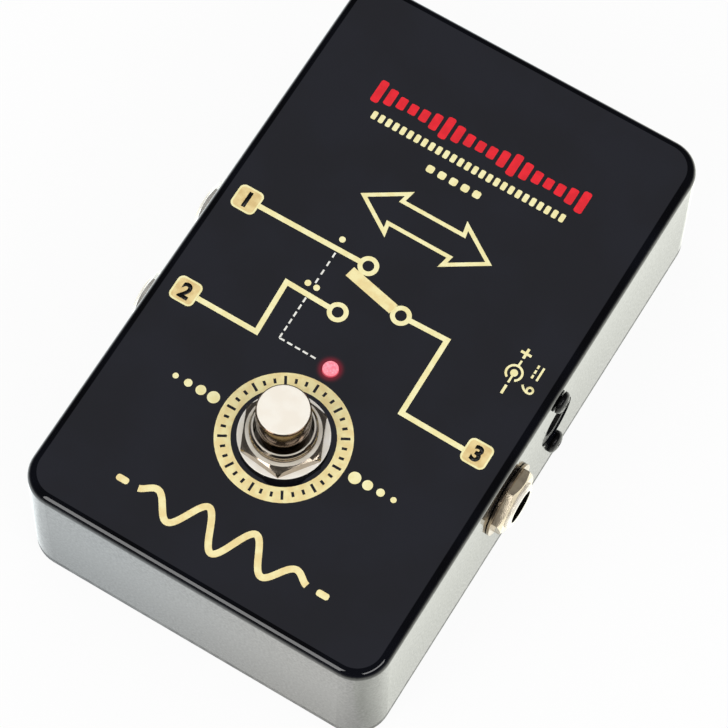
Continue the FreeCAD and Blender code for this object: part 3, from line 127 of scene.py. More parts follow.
@dataclass(frozen=True)
class Colour:
    """Screen colour, 0 to 255 in each channel."""

    red: int
    green: int
    blue: int

    def light(self) -> tuple[float, float, float, float]:
        """Turn the screen value into light.

        Returns:
            The linear value of each channel, and full alpha.
        """
        shares = (channel / 255 for channel in (self.red, self.green, self.blue))
        linear = (s / 12.92 if s <= 0.04045 else ((s + 0.055) / 1.055) ** 2.4 for s in shares)
        return (*linear, 1.0)

    def darker(self, share: float = 0.87) -> "Colour":
        """The same hue a little darker."""
        return Colour(*(int(share * channel) for channel in (self.red, self.green, self.blue)))


# Node graphs


class NodeGraph:
    """Node tree with short calls that add nodes and fill their inputs."""

    def __init__(self, tree: bpy.types.NodeTree) -> None:
        """Take the tree that is to be filled."""
        self.tree = tree

    def feed(self, target: bpy.types.NodeSocket, source: Any) -> None:
        """Link a socket to an input, or give the input a value of its own.

        Args:
            target: the input.
            source: a socket, or a number, vector, colour or material.
        """
        if isinstance(source, bpy.types.NodeSocket):
            self.tree.links.new(source, target)
        else:
            target.default_value = source

    def add(self, kind: str, inputs: dict[Any, Any] | None = None, **settings: Any) -> bpy.types.Node:
        """Add a node.

        Args:
            kind: the node's type.
            inputs: what feeds each input, by its name or index.
            settings: the node's own properties.
        Returns:
            The new node.
        """
        node = self.tree.nodes.new(kind)
        for key, setting in settings.items():
            setattr(node, key, setting)
        for key, source in (inputs or {}).items():
            self.feed(node.inputs[key], source)
        return node

    def math(self, operation: str, *terms: Any) -> bpy.types.NodeSocket:
        """Result of a math node on one to three terms, each a number or a socket."""
        return self.add("ShaderNodeMath", dict(enumerate(terms)), operation=operation).outputs[0]

    def vector(self, x: Any, y: Any, z: Any = 0.0) -> bpy.types.NodeSocket:
        """Vector of three numbers or sockets."""
        return self.add("ShaderNodeCombineXYZ", {0: x, 1: y, 2: z}).outputs[0]


class ShaderGraph(NodeGraph):
    """Nodes of one material or world, with the patterns that the finishes share."""

    def __init__(self, owner: bpy.types.Material | bpy.types.World) -> None:
        """Empty the owner's node tree.

        Args:
            owner: what the nodes are for.
        """
        owner.use_nodes = True
        super().__init__(owner.node_tree)
        self.owner = owner
        self.tree.nodes.clear()
        self.place = self.add("ShaderNodeTexCoord").outputs["Object"]

    def vectors(self, operation: str, *terms: Any, gives: str = "Vector") -> bpy.types.NodeSocket:
        """Result of a vector math node on one or two vectors, a Vector or a Value."""
        return self.add("ShaderNodeVectorMath", dict(enumerate(terms)), operation=operation).outputs[gives]

    def ramp(self, source: Any, low: float, high: float, to_low: float = 0.0,
             to_high: float = 1.0) -> bpy.types.NodeSocket:
        """Smooth step of a value from low to high, which may fall as well as rise.

        Args:
            source: the value to map.
            low: value at which the step begins.
            high: value at which the step ends.
            to_low: result at and below low.
            to_high: result at and above high.
        Returns:
            The mapped value.
        """
        settings = {"Value": source, "From Min": low, "From Max": high,
                    "To Min": to_low, "To Max": to_high}
        return self.add("ShaderNodeMapRange", settings, interpolation_type="SMOOTHSTEP").outputs[0]

    def mix(self, share: Any, first: Any, second: Any) -> bpy.types.NodeSocket:
        """Colour between two, by a share."""
        return self.add("ShaderNodeMix", {0: share, 6: first, 7: second}, data_type="RGBA").outputs[2]

    def noise(self, size: float, detail: float = 3.0, place: Any = None, shift: float = 0.0,
              output: int | str = 0) -> bpy.types.NodeSocket:
        """Noise whose patches have a given size.

        Args:
            size: width of a patch, in metres.
            detail: octaves of finer noise.
            place: coordinates to read, the object's own if not given.
            shift: moves the pattern, so that two noises differ.
            output: 0 for one number, Color for three.
        Returns:
            The noise, about 0 to 1.
        """
        mapped = self.add("ShaderNodeMapping", {"Vector": place or self.place, "Scale": (1 / size,) * 3,
                                                "Location": (shift,) * 3})
        node = self.add("ShaderNodeTexNoise", {"Vector": mapped.outputs[0], "Scale": 1.0,
                                               "Detail": detail})
        return node.outputs[output]

    def part_of(self, axis: Axis) -> bpy.types.NodeSocket:
        """One component of the object coordinates."""
        return self.add("ShaderNodeSeparateXYZ", {0: self.place}).outputs[axis.value]

    def from_axis(self, centre: Sequence[float], axis: Axis = Axis.Z) -> bpy.types.NodeSocket:
        """Distance from a straight line through a point.

        Args:
            centre: a point on the line.
            axis: the line's direction.
        Returns:
            The distance in metres.
        """
        keep = [0.0 if index == axis.value else 1.0 for index in range(3)]
        offset = self.vectors("SUBTRACT", self.place, tuple(centre))
        return self.vectors("LENGTH", self.vectors("MULTIPLY", offset, keep), gives="Value")

    def bump(self, height: Any, strength: float, distance: float, under: Any) -> bpy.types.NodeSocket:
        """Normal of a surface that a height pattern roughens.

        Args:
            height: the pattern, 0 to 1.
            strength: share of the effect.
            distance: height of the pattern in metres.
            under: the normal below it.
        Returns:
            The new normal.
        """
        return self.add("ShaderNodeBump", {"Height": height, "Strength": strength, "Distance": distance,
                                           "Normal": under}).outputs[0]

    def soft_edge(self, radius: float) -> bpy.types.NodeSocket:
        """Normal that rounds sharp edges by a small radius."""
        return self.add("ShaderNodeBevel", {"Radius": radius}, samples=4).outputs[0]

    def close(self, surface: bpy.types.Node, output: str = "Material") -> bpy.types.ID:
        """Join the surface to the output and return the owner."""
        self.add(f"ShaderNodeOutput{output}", {"Surface": surface.outputs[0]})
        return self.owner


# Finishes


@dataclass(frozen=True)
class Finish:
    """A finish: two colours that it varies between, its gloss, and the size of its detail."""

    name: str
    colour: Colour
    shade: Colour
    gloss: Point
    metallic: float = 0.0
    patch: float = 3.0 * MM
    grain: float = 0.3 * MM
    depth: float = 0.01 * MM
    edge: float = 0.12 * MM
    specular: float = 0.5

    def base(self, graph: ShaderGraph) -> bpy.types.NodeSocket:
        """Colour over the surface."""
        share = graph.ramp(graph.noise(self.patch), *COLOUR_BAND)
        return graph.mix(share, self.colour.light(), self.shade.light())

    def roughness(self, graph: ShaderGraph) -> bpy.types.NodeSocket:
        """Roughness over the surface, between the two values of gloss."""
        return graph.ramp(graph.noise(self.patch / 2, 5.0, shift=7.0), *GLOSS_BAND, *self.gloss)

    def normal(self, graph: ShaderGraph) -> bpy.types.NodeSocket:
        """Normal with rounded edges and a fine grain."""
        return graph.bump(graph.noise(self.grain), 1.0, self.depth, graph.soft_edge(self.edge))

    def metal(self, graph: ShaderGraph) -> Any:
        """How metallic the surface is."""
        return self.metallic

    def glow(self, graph: ShaderGraph) -> dict[str, Any]:
        """Emission inputs of the shader, none on most finishes."""
        return {}

    def build(self) -> bpy.types.Material:
        """Make the material of this finish.

        Returns:
            The material.
        """
        graph = ShaderGraph(bpy.data.materials.new(self.name))
        inputs = {"Base Color": self.base(graph), "Roughness": self.roughness(graph),
                  "Metallic": self.metal(graph), "Specular IOR Level": self.specular,
                  "Normal": self.normal(graph), **self.glow(graph)}
        return graph.close(graph.add("ShaderNodeBsdfPrincipled", inputs))


@dataclass(frozen=True)
class GlossPaint(Finish):
    """Gloss paint, smooth on the top face and with fine orange peel on the walls.

    The peel fades out between two depths under the top face. The lens's red light on the paint is a
    painted glow, emission that lies only on what is above the two depths of its skin.
    """

    top: float = 0.0
    peel: float = 0.5 * MM
    slope: Point = (0.14, 0.003)
    fade: Point = (1.2 * MM, 0.1 * MM)
    lamp: Point = (0.0, 0.0)
    # Painted glow of the lens on the paint: its reach, its falloff and its colour.
    painted_glow_reach: Point = (1.7 * MM, 3.4 * MM)
    painted_glow_power: float = 4.0
    painted_glow_colour: Colour = Colour(104, 4, 24)
    skin: Point = (0.4 * MM, 0.2 * MM)

    def above(self, graph: ShaderGraph, depths: Point, *shares: float) -> bpy.types.NodeSocket:
        """Smooth step between two depths under the top face."""
        return graph.ramp(graph.part_of(Axis.Z), *(self.top - depth for depth in depths), *shares)

    def normal(self, graph: ShaderGraph) -> bpy.types.NodeSocket:
        """Orange peel that fades out towards the top face.

        Args:
            graph: the material's nodes.
        Returns:
            The normal.
        """
        peel = graph.vectors("SUBTRACT", graph.noise(self.peel, 2.0, output="Color"), (0.5, 0.5, 0.5))
        share = self.above(graph, self.fade, *self.slope)
        lean = graph.add("ShaderNodeVectorMath", {0: peel, "Scale": share}, operation="SCALE").outputs[0]
        facing = graph.add("ShaderNodeNewGeometry").outputs["Normal"]
        return graph.vectors("NORMALIZE", graph.vectors("ADD", facing, lean))

    def glow(self, graph: ShaderGraph) -> dict[str, Any]:
        """Painted glow: red light of the lens, painted as emission into the paint close round it.

        Args:
            graph: the material's nodes.
        Returns:
            The shader's emission inputs.
        """
        near = graph.ramp(graph.from_axis((*self.lamp, 0.0)), *self.painted_glow_reach, 1.0, 0.0)
        fading = graph.math("POWER", near, self.painted_glow_power)
        return {"Emission Color": self.painted_glow_colour.light(),
                "Emission Strength": graph.math("MULTIPLY", fading, self.above(graph, self.skin))}


@dataclass(frozen=True)
class TurnedMetal(Finish):
    """Plated metal turned about an axis, with fine rings and shallow dents.

    Soles wear it where they rub it, on faces that look up: all of the wear lies past the second share of
    rubbed, none before the first. A side shade, where given, is painted shade on the faces that don't look
    up.
    """

    centre: Sequence[float] = (0.0, 0.0, 0.0)
    axis: Axis = Axis.Z
    ring: float = 0.06 * MM
    satin: Point = (0.46, 0.56)
    scuff: float = 0.0
    rubbed: Point = (0.84, 0.97)
    dent: float = 2.4 * MM
    dent_share: float = 0.3
    # Darker colour painted on faces that don't look up: painted shade.
    painted_side_shade: Colour | None = None

    def base(self, graph: ShaderGraph) -> bpy.types.NodeSocket:
        """Colour over the surface, with painted shade: a darker colour on the faces that don't look up."""
        colour = super().base(graph)
        return graph.mix(self.worn_and_lit(graph), self.painted_side_shade.light(), colour) if self.painted_side_shade else colour

    def worn_and_lit(self, graph: ShaderGraph) -> bpy.types.NodeSocket:
        """Share of wear over the surface, which also marks the upward faces that the painted shade leaves
        out.
        """
        facing = graph.add("ShaderNodeNewGeometry").outputs["True Normal"]
        return graph.ramp(graph.add("ShaderNodeSeparateXYZ", {0: facing}).outputs["Z"], *self.rubbed)

    def rings(self, graph: ShaderGraph) -> bpy.types.NodeSocket:
        """Fine rings about the axis."""
        place = graph.vector(graph.from_axis(self.centre, self.axis), graph.part_of(self.axis))
        return graph.noise(self.ring, 2.0, place=place)

    def roughness(self, graph: ShaderGraph) -> bpy.types.NodeSocket:
        """Gloss that varies from ring to ring and with wear.

        Args:
            graph: the material's nodes.
        Returns:
            The roughness.
        """
        mixed = graph.math("ADD", graph.math("MULTIPLY", self.rings(graph), 0.5),
                           graph.math("MULTIPLY", graph.noise(self.patch, 4.0, shift=5.0), 0.5))
        bright = graph.ramp(mixed, *COLOUR_BAND, *self.gloss)
        if not self.scuff:
            return bright
        satin = graph.ramp(graph.noise(self.patch / 3, 6.0), *GLOSS_BAND, *self.satin)
        worn_and_lit = self.worn_and_lit(graph)
        return graph.math("ADD", graph.math("MULTIPLY", worn_and_lit, satin),
                          graph.math("MULTIPLY", graph.math("SUBTRACT", 1.0, worn_and_lit), bright))

    def metal(self, graph: ShaderGraph) -> Any:
        """How metallic it is, less where soles wear it, because a scuffed face scatters light.

        Args:
            graph: the material's nodes.
        Returns:
            One number for the whole surface, or a socket.
        """
        if not self.scuff:
            return self.metallic
        return graph.math("MULTIPLY_ADD", self.worn_and_lit(graph), -self.scuff, self.metallic)

    def normal(self, graph: ShaderGraph) -> bpy.types.NodeSocket:
        """Rings and shallow dents pressed into the surface, and rounded edges."""
        fine = graph.bump(self.rings(graph), 1.0, self.depth, graph.soft_edge(self.edge))
        return graph.bump(graph.noise(self.dent, 2.0, shift=2.0), self.dent_share, self.depth, fine)


@dataclass(frozen=True)
class BoredMetal(TurnedMetal):
    """Turned metal whose bore is painted near black: painted shade in the bore."""

    bore: Point = (3.22 * MM, 3.3 * MM)
    # Near-black colour painted in the bore: painted shade.
    painted_bore_shade: Colour = Colour(12, 11, 10)

    def base(self, graph: ShaderGraph) -> bpy.types.NodeSocket:
        """Plating outside, painted shade in the bore."""
        inside = graph.ramp(graph.from_axis(self.centre, self.axis), *self.bore, 1.0, 0.0)
        return graph.mix(inside, super().base(graph), self.painted_bore_shade.light())


@dataclass(frozen=True)
class LampLens(Finish):
    """Lit lens, pale and a little cloudy in the middle and deep red at its rim."""

    centre: Point = (0.0, 0.0)
    core: Point = (1.3 * MM, 1.55 * MM)
    inner: Colour = Colour(255, 190, 204)
    outer: Colour = Colour(150, 6, 34)
    cloud: float = 0.4 * MM
    cloud_share: float = 0.45
    strength: float = 0.8

    def glow(self, graph: ShaderGraph) -> dict[str, Any]:
        """Light from inside the lens.

        Args:
            graph: the material's nodes.
        Returns:
            The shader's emission inputs.
        """
        rim = graph.ramp(graph.from_axis((*self.centre, 0.0)), *self.core)
        cloud = graph.ramp(graph.noise(self.cloud), *GLOSS_BAND, 0.0, self.cloud_share)
        share = graph.math("MAXIMUM", rim, cloud)
        colour = graph.mix(share, self.inner.light(), self.outer.light())
        return {"Emission Color": colour, "Emission Strength": self.strength}


@dataclass(frozen=True)
class BandedCoat(Finish):
    """Lacquered resistor body with colour bands along Y, whose edges are a little blurred."""

    middle: float = 0.0
    pitch: float = 1.1 * MM
    width: float = 0.5 * MM
    blur: float = 0.05 * MM
    bands: tuple[Colour, ...] = (Colour(120, 60, 20), Colour(20, 20, 20), Colour(180, 30, 30),
                                 Colour(190, 150, 60))

    def base(self, graph: ShaderGraph) -> bpy.types.NodeSocket:
        """Ground colour with a band at each place.

        Args:
            graph: the material's nodes.
        Returns:
            The colour.
        """
        colour = super().base(graph)
        inside, outside = (self.width - self.blur) / 2, (self.width + self.blur) / 2
        for index, band in enumerate(self.bands):
            place = self.middle + (index - (len(self.bands) - 1) / 2) * self.pitch
            away = graph.math("ABSOLUTE", graph.math("SUBTRACT", graph.part_of(Axis.Y), place))
            colour = graph.mix(graph.ramp(away, inside, outside, 1.0, 0.0), colour, band.light())
        return colour


@dataclass(frozen=True)
class Laminate(Finish):
    """Circuit board: solder mask over a woven cloth that shows faintly."""

    thread: float = 0.35 * MM
    weave_share: float = 0.5

    def normal(self, graph: ShaderGraph) -> bpy.types.NodeSocket:
        """Weave of the cloth under the mask.

        Args:
            graph: the material's nodes.
        Returns:
            The normal.
        """
        scale = math.pi / self.thread
        waves = [graph.math("SINE", graph.math("MULTIPLY", graph.part_of(axis), scale))
                 for axis in (Axis.X, Axis.Y)]
        return graph.bump(graph.math("MULTIPLY", *waves), self.weave_share, self.depth,
                          graph.soft_edge(self.edge))


FinishList = dict[Slot | str, Finish]


class Finishes:
    """Every finish on the box, built once and handed out by slot or by name."""

    def __init__(self) -> None:
        """Read the places that patterns are centred on, and list the finishes."""
        self.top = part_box("case_shell")[1].z
        self.switch = centre_of("switch_cap")
        lamp = centre_of("led_lens")
        self.lamp = (lamp.x, lamp.y)
        self.listed: FinishList = {
            **self.case_finishes(), **self.switch_finishes(), **self.circuit_finishes(),
            **self.jack_finishes(), **self.insulation(), **self.inks()}
        self.made: dict[str, bpy.types.Material] = {}

    def case_finishes(self) -> FinishList:
        """Finishes of the case, cover, screws and feet, and of the power jack and its screws."""
        return {
            Slot.CASE: GlossPaint("case_paint_gloss", Colour(8, 8, 10), Colour(12, 13, 18), (0.03, 0.05),
                                  patch=16 * MM, top=self.top, lamp=self.lamp),
            Slot.COVER: Finish("cover_paint_satin", Colour(24, 24, 27), Colour(32, 32, 35), (0.32, 0.45),
                               grain=0.5 * MM, depth=0.02 * MM),
            Slot.ZINC: Finish("zinc_plate_bright", Colour(196, 200, 205), Colour(170, 172, 168),
                              (0.22, 0.38), metallic=1.0, patch=1.5 * MM),
            Slot.FOOT: Finish("rubber_black", Colour(26, 26, 26), Colour(38, 38, 38), (0.65, 0.85),
                              grain=0.25 * MM, depth=0.03 * MM, edge=0.3 * MM),
            Slot.PLASTIC: Finish("plastic_black", Colour(20, 20, 22), Colour(28, 28, 30), (0.3, 0.45),
                                 grain=0.15 * MM),
            Slot.SCREW: Finish("screw_black_oxide", Colour(12, 12, 13), Colour(20, 20, 22), (0.16, 0.3),
                               patch=1 * MM, specular=0.2),
        }

    def switch_finishes(self) -> FinishList:
        """Finishes of the foot switch, plated outside, moulded and sprung inside.

        Returns:
            The finishes by slot, with the washer's by name.
        """
        plate = {"metallic": 1.0, "depth": 0.0015 * MM, "centre": self.switch}
        return {
            # The switch nickel and the cap get a darker colour on faces that don't look up: painted shade.
            Slot.NICKEL: TurnedMetal("nickel_switch", Colour(232, 226, 214), Colour(218, 210, 196),
                                     (0.08, 0.16), scuff=0.75, painted_side_shade=Colour(176, 162, 144), **plate),
            Slot.CHROME: TurnedMetal("nickel_cap", Colour(252, 246, 234), Colour(248, 240, 226),
                                     (0.05, 0.10), scuff=0.85, painted_side_shade=Colour(126, 102, 80), **plate),
            "nickel_washer": TurnedMetal("nickel_washer", Colour(250, 246, 238), Colour(242, 236, 224),
                                         (0.12, 0.2), scuff=0.95, **plate),
            Slot.PHENOLIC: Finish("phenolic_brown", Colour(88, 48, 26), Colour(64, 34, 20), (0.35, 0.55),
                                  patch=2 * MM, grain=0.2 * MM, depth=0.02 * MM),
            Slot.NYLON: Finish("nylon_white", Colour(228, 226, 216), Colour(214, 210, 198), (0.35, 0.5)),
            Slot.SPRING: Finish("spring_steel_drawn", Colour(176, 178, 182), Colour(150, 152, 156),
                                (0.2, 0.35), metallic=1.0, patch=1 * MM),
            Slot.CONTACT: Finish("contact_silvered", Colour(216, 214, 208), Colour(196, 176, 150),
                                 (0.2, 0.4), metallic=1.0, patch=2 * MM),
        }

    def circuit_finishes(self) -> FinishList:
        """Finishes of the lens, its leads, the board, the resistor and the jacks' rivets."""
        return {
            Slot.LAMP: LampLens("lamp_lens_lit", Colour(214, 30, 60), Colour(200, 20, 50), (0.12, 0.2),
                                centre=self.lamp, edge=0.05 * MM),
            Slot.TINNED: Finish("tinned_dull", Colour(190, 190, 192), Colour(160, 160, 160), (0.35, 0.5),
                                metallic=1.0, patch=1 * MM),
            Slot.BOARD: Laminate("board_mask_green", Colour(26, 92, 48), Colour(20, 74, 40), (0.22, 0.35),
                                 patch=6 * MM),
            Slot.RESISTOR: BandedCoat("resistor_lacquer", Colour(206, 178, 128), Colour(192, 162, 112),
                                      (0.25, 0.35), middle=centre_of("led_resistor").y, patch=1 * MM),
            Slot.BRASS: Finish("rivet_brass", Colour(214, 180, 104), Colour(190, 150, 84), (0.25, 0.4),
                               metallic=1.0, patch=1 * MM),
        }

    @staticmethod
    def jack_finishes() -> FinishList:
        """Nickel of the signal jacks: bright on the left wall, and on the right one painted duller and
        darker, as painted shade.

        Returns:
            The finishes of each jack's nut, washer and bush, by name.
        """
        bright = (Colour(250, 246, 238), 0.55)
        # The right wall's jack gets duller, darker nickel than the left wall's: painted shade on its nut
        # and washer.
        nut_painted_shade = (Colour(222, 208, 182), 0.6)
        dark = (Colour(176, 158, 134), 0.95)
        found = {}
        for letter, nut, washer in (("a", bright, bright), ("b", bright, bright), ("c", nut_painted_shade, dark)):
            turned = {"centre": centre_of(f"jack_{letter}_nut"), "axis": Axis.X, "depth": 0.004 * MM}
            for part, (colour, metallic) in (("nut", nut), ("washer", washer)):
                name = f"nickel_{part}_{letter}"
                found[name] = TurnedMetal(name, colour, colour.darker(), (0.14, 0.24), metallic=metallic,
                                          patch=2.5 * MM, **turned)
            name = f"nickel_bush_{letter}"
            found[name] = BoredMetal(name, Colour(250, 245, 234), Colour(240, 232, 216), (0.16, 0.28),
                                     metallic=0.2, **turned)
        return found

    @staticmethod
    def insulation() -> FinishList:
        """Soft insulation of the wires.

        Returns:
            The finishes by slot.
        """
        colours = {Slot.YELLOW: Colour(226, 190, 40), Slot.BLUE: Colour(38, 84, 170),
                   Slot.WHITE: Colour(224, 224, 220), Slot.BLACK: Colour(26, 26, 28),
                   Slot.RED: Colour(186, 32, 30)}
        return {slot: Finish(f"insulation_{slot.name.lower()}", colour, colour.darker(), (0.35, 0.5),
                             patch=2 * MM, depth=0.005 * MM) for slot, colour in colours.items()}

    @staticmethod
    def inks() -> FinishList:
        """Screen inks of the panel.

        Returns:
            The finishes by name.
        """
        colours = {"gold_line": (Colour(242, 235, 182), Colour(236, 225, 164)),
                   "gold_fill": (Colour(240, 228, 170), Colour(232, 211, 149)),
                   "gold_box": (Colour(231, 209, 149), Colour(215, 187, 127)),
                   "white": (Colour(236, 236, 228), Colour(222, 222, 214)),
                   "black": (Colour(10, 9, 9), Colour(16, 14, 12)),
                   "red": (Colour(234, 18, 38), Colour(218, 15, 34))}
        return {name: Finish(f"ink_{name}", *pair, (0.35, 0.5), patch=1.6 * MM, grain=0.12 * MM,
                             depth=0.006 * MM, edge=0.02 * MM) for name, pair in colours.items()}

    def material(self, which: Slot | str) -> bpy.types.Material:
        """Material of a slot, or of a finish that is listed by name.

        Args:
            which: a slot or a name.
        Returns:
            The material, built the first time it is asked for.
        """
        finish = self.listed[which]
        if finish.name not in self.made:
            self.made[finish.name] = finish.build()
        return self.made[finish.name]


# Meshes and placing


def centre_of(node: str) -> Vector:
    """Middle of a CAD node's box."""
    low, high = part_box(node)
    return (low + high) / 2


def body_of(node: str) -> str:
    """Name of the body that a CAD node rides on."""
    return frame["nodes"][node]["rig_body"]


def object_of(name: str, mesh: bpy.types.ID) -> bpy.types.Object:
    """Put a mesh, text or curve in the scene.

    Args:
        name: the object's name.
        mesh: its data.
    Returns:
        The new object, at the origin.
    """
    made = bpy.data.objects.new(name, mesh)
    bpy.context.scene.collection.objects.link(made)
    return made


def plain_mesh(host: bpy.types.Object) -> bpy.types.Mesh:
    """Mesh of an object with its modifiers applied; the object is removed.

    Args:
        host: the object, which may also be text or a curve.
    Returns:
        The evaluated mesh.
    """
    graph = bpy.context.evaluated_depsgraph_get()
    mesh = bpy.data.meshes.new_from_object(host.evaluated_get(graph), depsgraph=graph)
    host.modifiers.clear()
    bpy.data.objects.remove(host)
    return mesh


def merged_copy(node: str) -> bpy.types.Mesh:
    """Copy a CAD node's mesh and merge its loose triangles into closed solids.

    Args:
        node: the CAD node.
    Returns:
        The copy.
    """
    work = bmesh.new()
    work.from_mesh(frame["nodes"][node].data)
    bmesh.ops.remove_doubles(work, verts=work.verts, dist=WELD)
    mesh = bpy.data.meshes.new(f"{node}_merged")
    work.to_mesh(mesh)
    work.free()
    return mesh


def islands(mesh: bpy.types.Mesh) -> list[tuple[Vector, Vector]]:
    """Lowest and highest corner of each separate solid in a mesh.

    Args:
        mesh: a merged mesh.
    Returns:
        The corners, in order of place.
    """
    work = bmesh.new()
    work.from_mesh(mesh)
    left, boxes = set(work.verts), []
    while left:
        stack, reached = [left.pop()], []
        while stack:
            vertex = stack.pop()
            reached.append(vertex.co.copy())
            for edge in vertex.link_edges:
                other = edge.other_vert(vertex)
                if other in left:
                    left.remove(other)
                    stack.append(other)
        boxes.append(tuple(Vector(map(pick, *reached)) for pick in (min, max)))
    work.free()
    return sorted(boxes, key=lambda corners: tuple(round(part, 5) for part in corners[0]))


def dress(piece: bpy.types.Object, material: bpy.types.Material, body: str,
          replaced: Iterable[str] = ()) -> bpy.types.Object:
    """Give a finished piece its material and body, and hide the CAD nodes it stands for.

    Args:
        piece: the object, in place.
        material: what it is made of.
        body: the CAD body it rides on.
        replaced: CAD nodes that it stands for.
    Returns:
        The piece.
    """
    piece.data.materials.clear()
    piece.data.materials.append(material)
    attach(piece, body)
    if replaced:
        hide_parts(*replaced)
    LOG.info("piece %s on %s, %d faces", piece.name, body, len(piece.data.polygons))
    return piece


def paint_node(node: str, material: bpy.types.Material) -> None:
    """Give a CAD node a better material.

    Args:
        node: the CAD node.
        material: what it is to wear.
    """
    for slot in frame["nodes"][node].material_slots:
        slot.material = material
    LOG.info("node %s wears %s", node, material.name)


class GeometryTree(NodeGraph):
    """Geometry Nodes tree with named inputs, run once to give a plain mesh."""

    def __init__(self, name: str) -> None:
        """Start a tree that takes and gives geometry.

        Args:
            name: the tree's name.
        """
        super().__init__(bpy.data.node_groups.new(name, "GeometryNodeTree"))
        for way in ("INPUT", "OUTPUT"):
            self.tree.interface.new_socket("Geometry", in_out=way, socket_type="NodeSocketGeometry")
        self.source = self.tree.nodes.new("NodeGroupInput")
        self.settings: dict[str, Any] = {}

    def size(self, name: str, number: Any, kind: str = "Float") -> bpy.types.NodeSocket:
        """Declare a named input and note its value.

        Args:
            name: the input's name.
            number: the value that the modifier gives it.
            kind: Float, Int, Vector or Rotation.
        Returns:
            The socket to read it from.
        """
        made = self.tree.interface.new_socket(name, in_out="INPUT", socket_type=f"NodeSocket{kind}")
        self.settings[made.identifier] = number
        return self.source.outputs[name]

    def join(self, *parts: bpy.types.NodeSocket) -> bpy.types.NodeSocket:
        """Put several geometries together.

        Args:
            parts: the geometries.
        Returns:
            All of them as one.
        """
        node = self.add("GeometryNodeJoinGeometry")
        for part in parts:
            self.feed(node.inputs[0], part)
        return node.outputs[0]

    def run(self, name: str, geometry: bpy.types.NodeSocket, material: bpy.types.Material,
            base: bpy.types.Mesh | None = None) -> bpy.types.Object:
        """Close the tree, evaluate it once and keep the result as a plain mesh.

        Args:
            name: the new object's name.
            geometry: what the tree gives.
            material: set on all of it.
            base: mesh that the tree reads, if any.
        Returns:
            The object, with no modifier left.
        """
        real = self.add("GeometryNodeRealizeInstances", {0: geometry}).outputs[0]
        dressed = self.add("GeometryNodeSetMaterial", {"Geometry": real, "Material": material}).outputs[0]
        self.tree.links.new(dressed, self.tree.nodes.new("NodeGroupOutput").inputs[0])
        host = object_of(f"{name}_host", base or bpy.data.meshes.new(f"{name}_base"))
        modifier = host.modifiers.new("build", "NODES")
        modifier.node_group = self.tree
        for identifier, number in self.settings.items():
            modifier[identifier] = number
        return object_of(name, plain_mesh(host))


# Sides of a thread ridge's section, and of a spring wire's.
RIDGE_SIDES = 4
WIRE_SIDES = 10


@dataclass(frozen=True)
class Helix:
    """Wire or ridge wound about an axis, made by Geometry Nodes."""

    radius: float
    pitch: float
    turns: float
    thickness: float
    sides: int
    start: Place
    turn: Place = (0.0, 0.0, 0.0)
    steps: int = 48

    def build(self, name: str, material: bpy.types.Material) -> bpy.types.Object:
        """Wind it.

        Args:
            name: the piece's name.
            material: its material.
        Returns:
            The piece, in place.
        """
        tree = GeometryTree(f"{name}_tree")
        radius, turns = tree.size("Radius", self.radius), tree.size("Turns", self.turns)
        height = tree.math("MULTIPLY", tree.size("Pitch", self.pitch), turns)
        spiral = tree.add("GeometryNodeCurveSpiral", {
            "Resolution": tree.size("Steps", self.steps, "Int"), "Rotations": turns,
            "Start Radius": radius, "End Radius": radius, "Height": height}).outputs[0]
        level = tree.add("GeometryNodeSetCurveNormal", {"Curve": spiral}, mode="Z_UP").outputs[0]
        section = tree.add("GeometryNodeCurvePrimitiveCircle", {
            "Resolution": tree.size("Sides", self.sides, "Int"),
            "Radius": tree.size("Thickness", self.thickness / 2)}).outputs[0]
        wound = tree.add("GeometryNodeCurveToMesh", {
            "Curve": level, "Profile Curve": section, "Fill Caps": True}).outputs[0]
        placed = tree.add("GeometryNodeTransform", {
            "Geometry": wound, "Translation": tree.size("Start", self.start, "Vector"),
            "Rotation": tree.size("Turn", self.turn, "Rotation")}).outputs[0]
        return tree.run(name, placed, material)


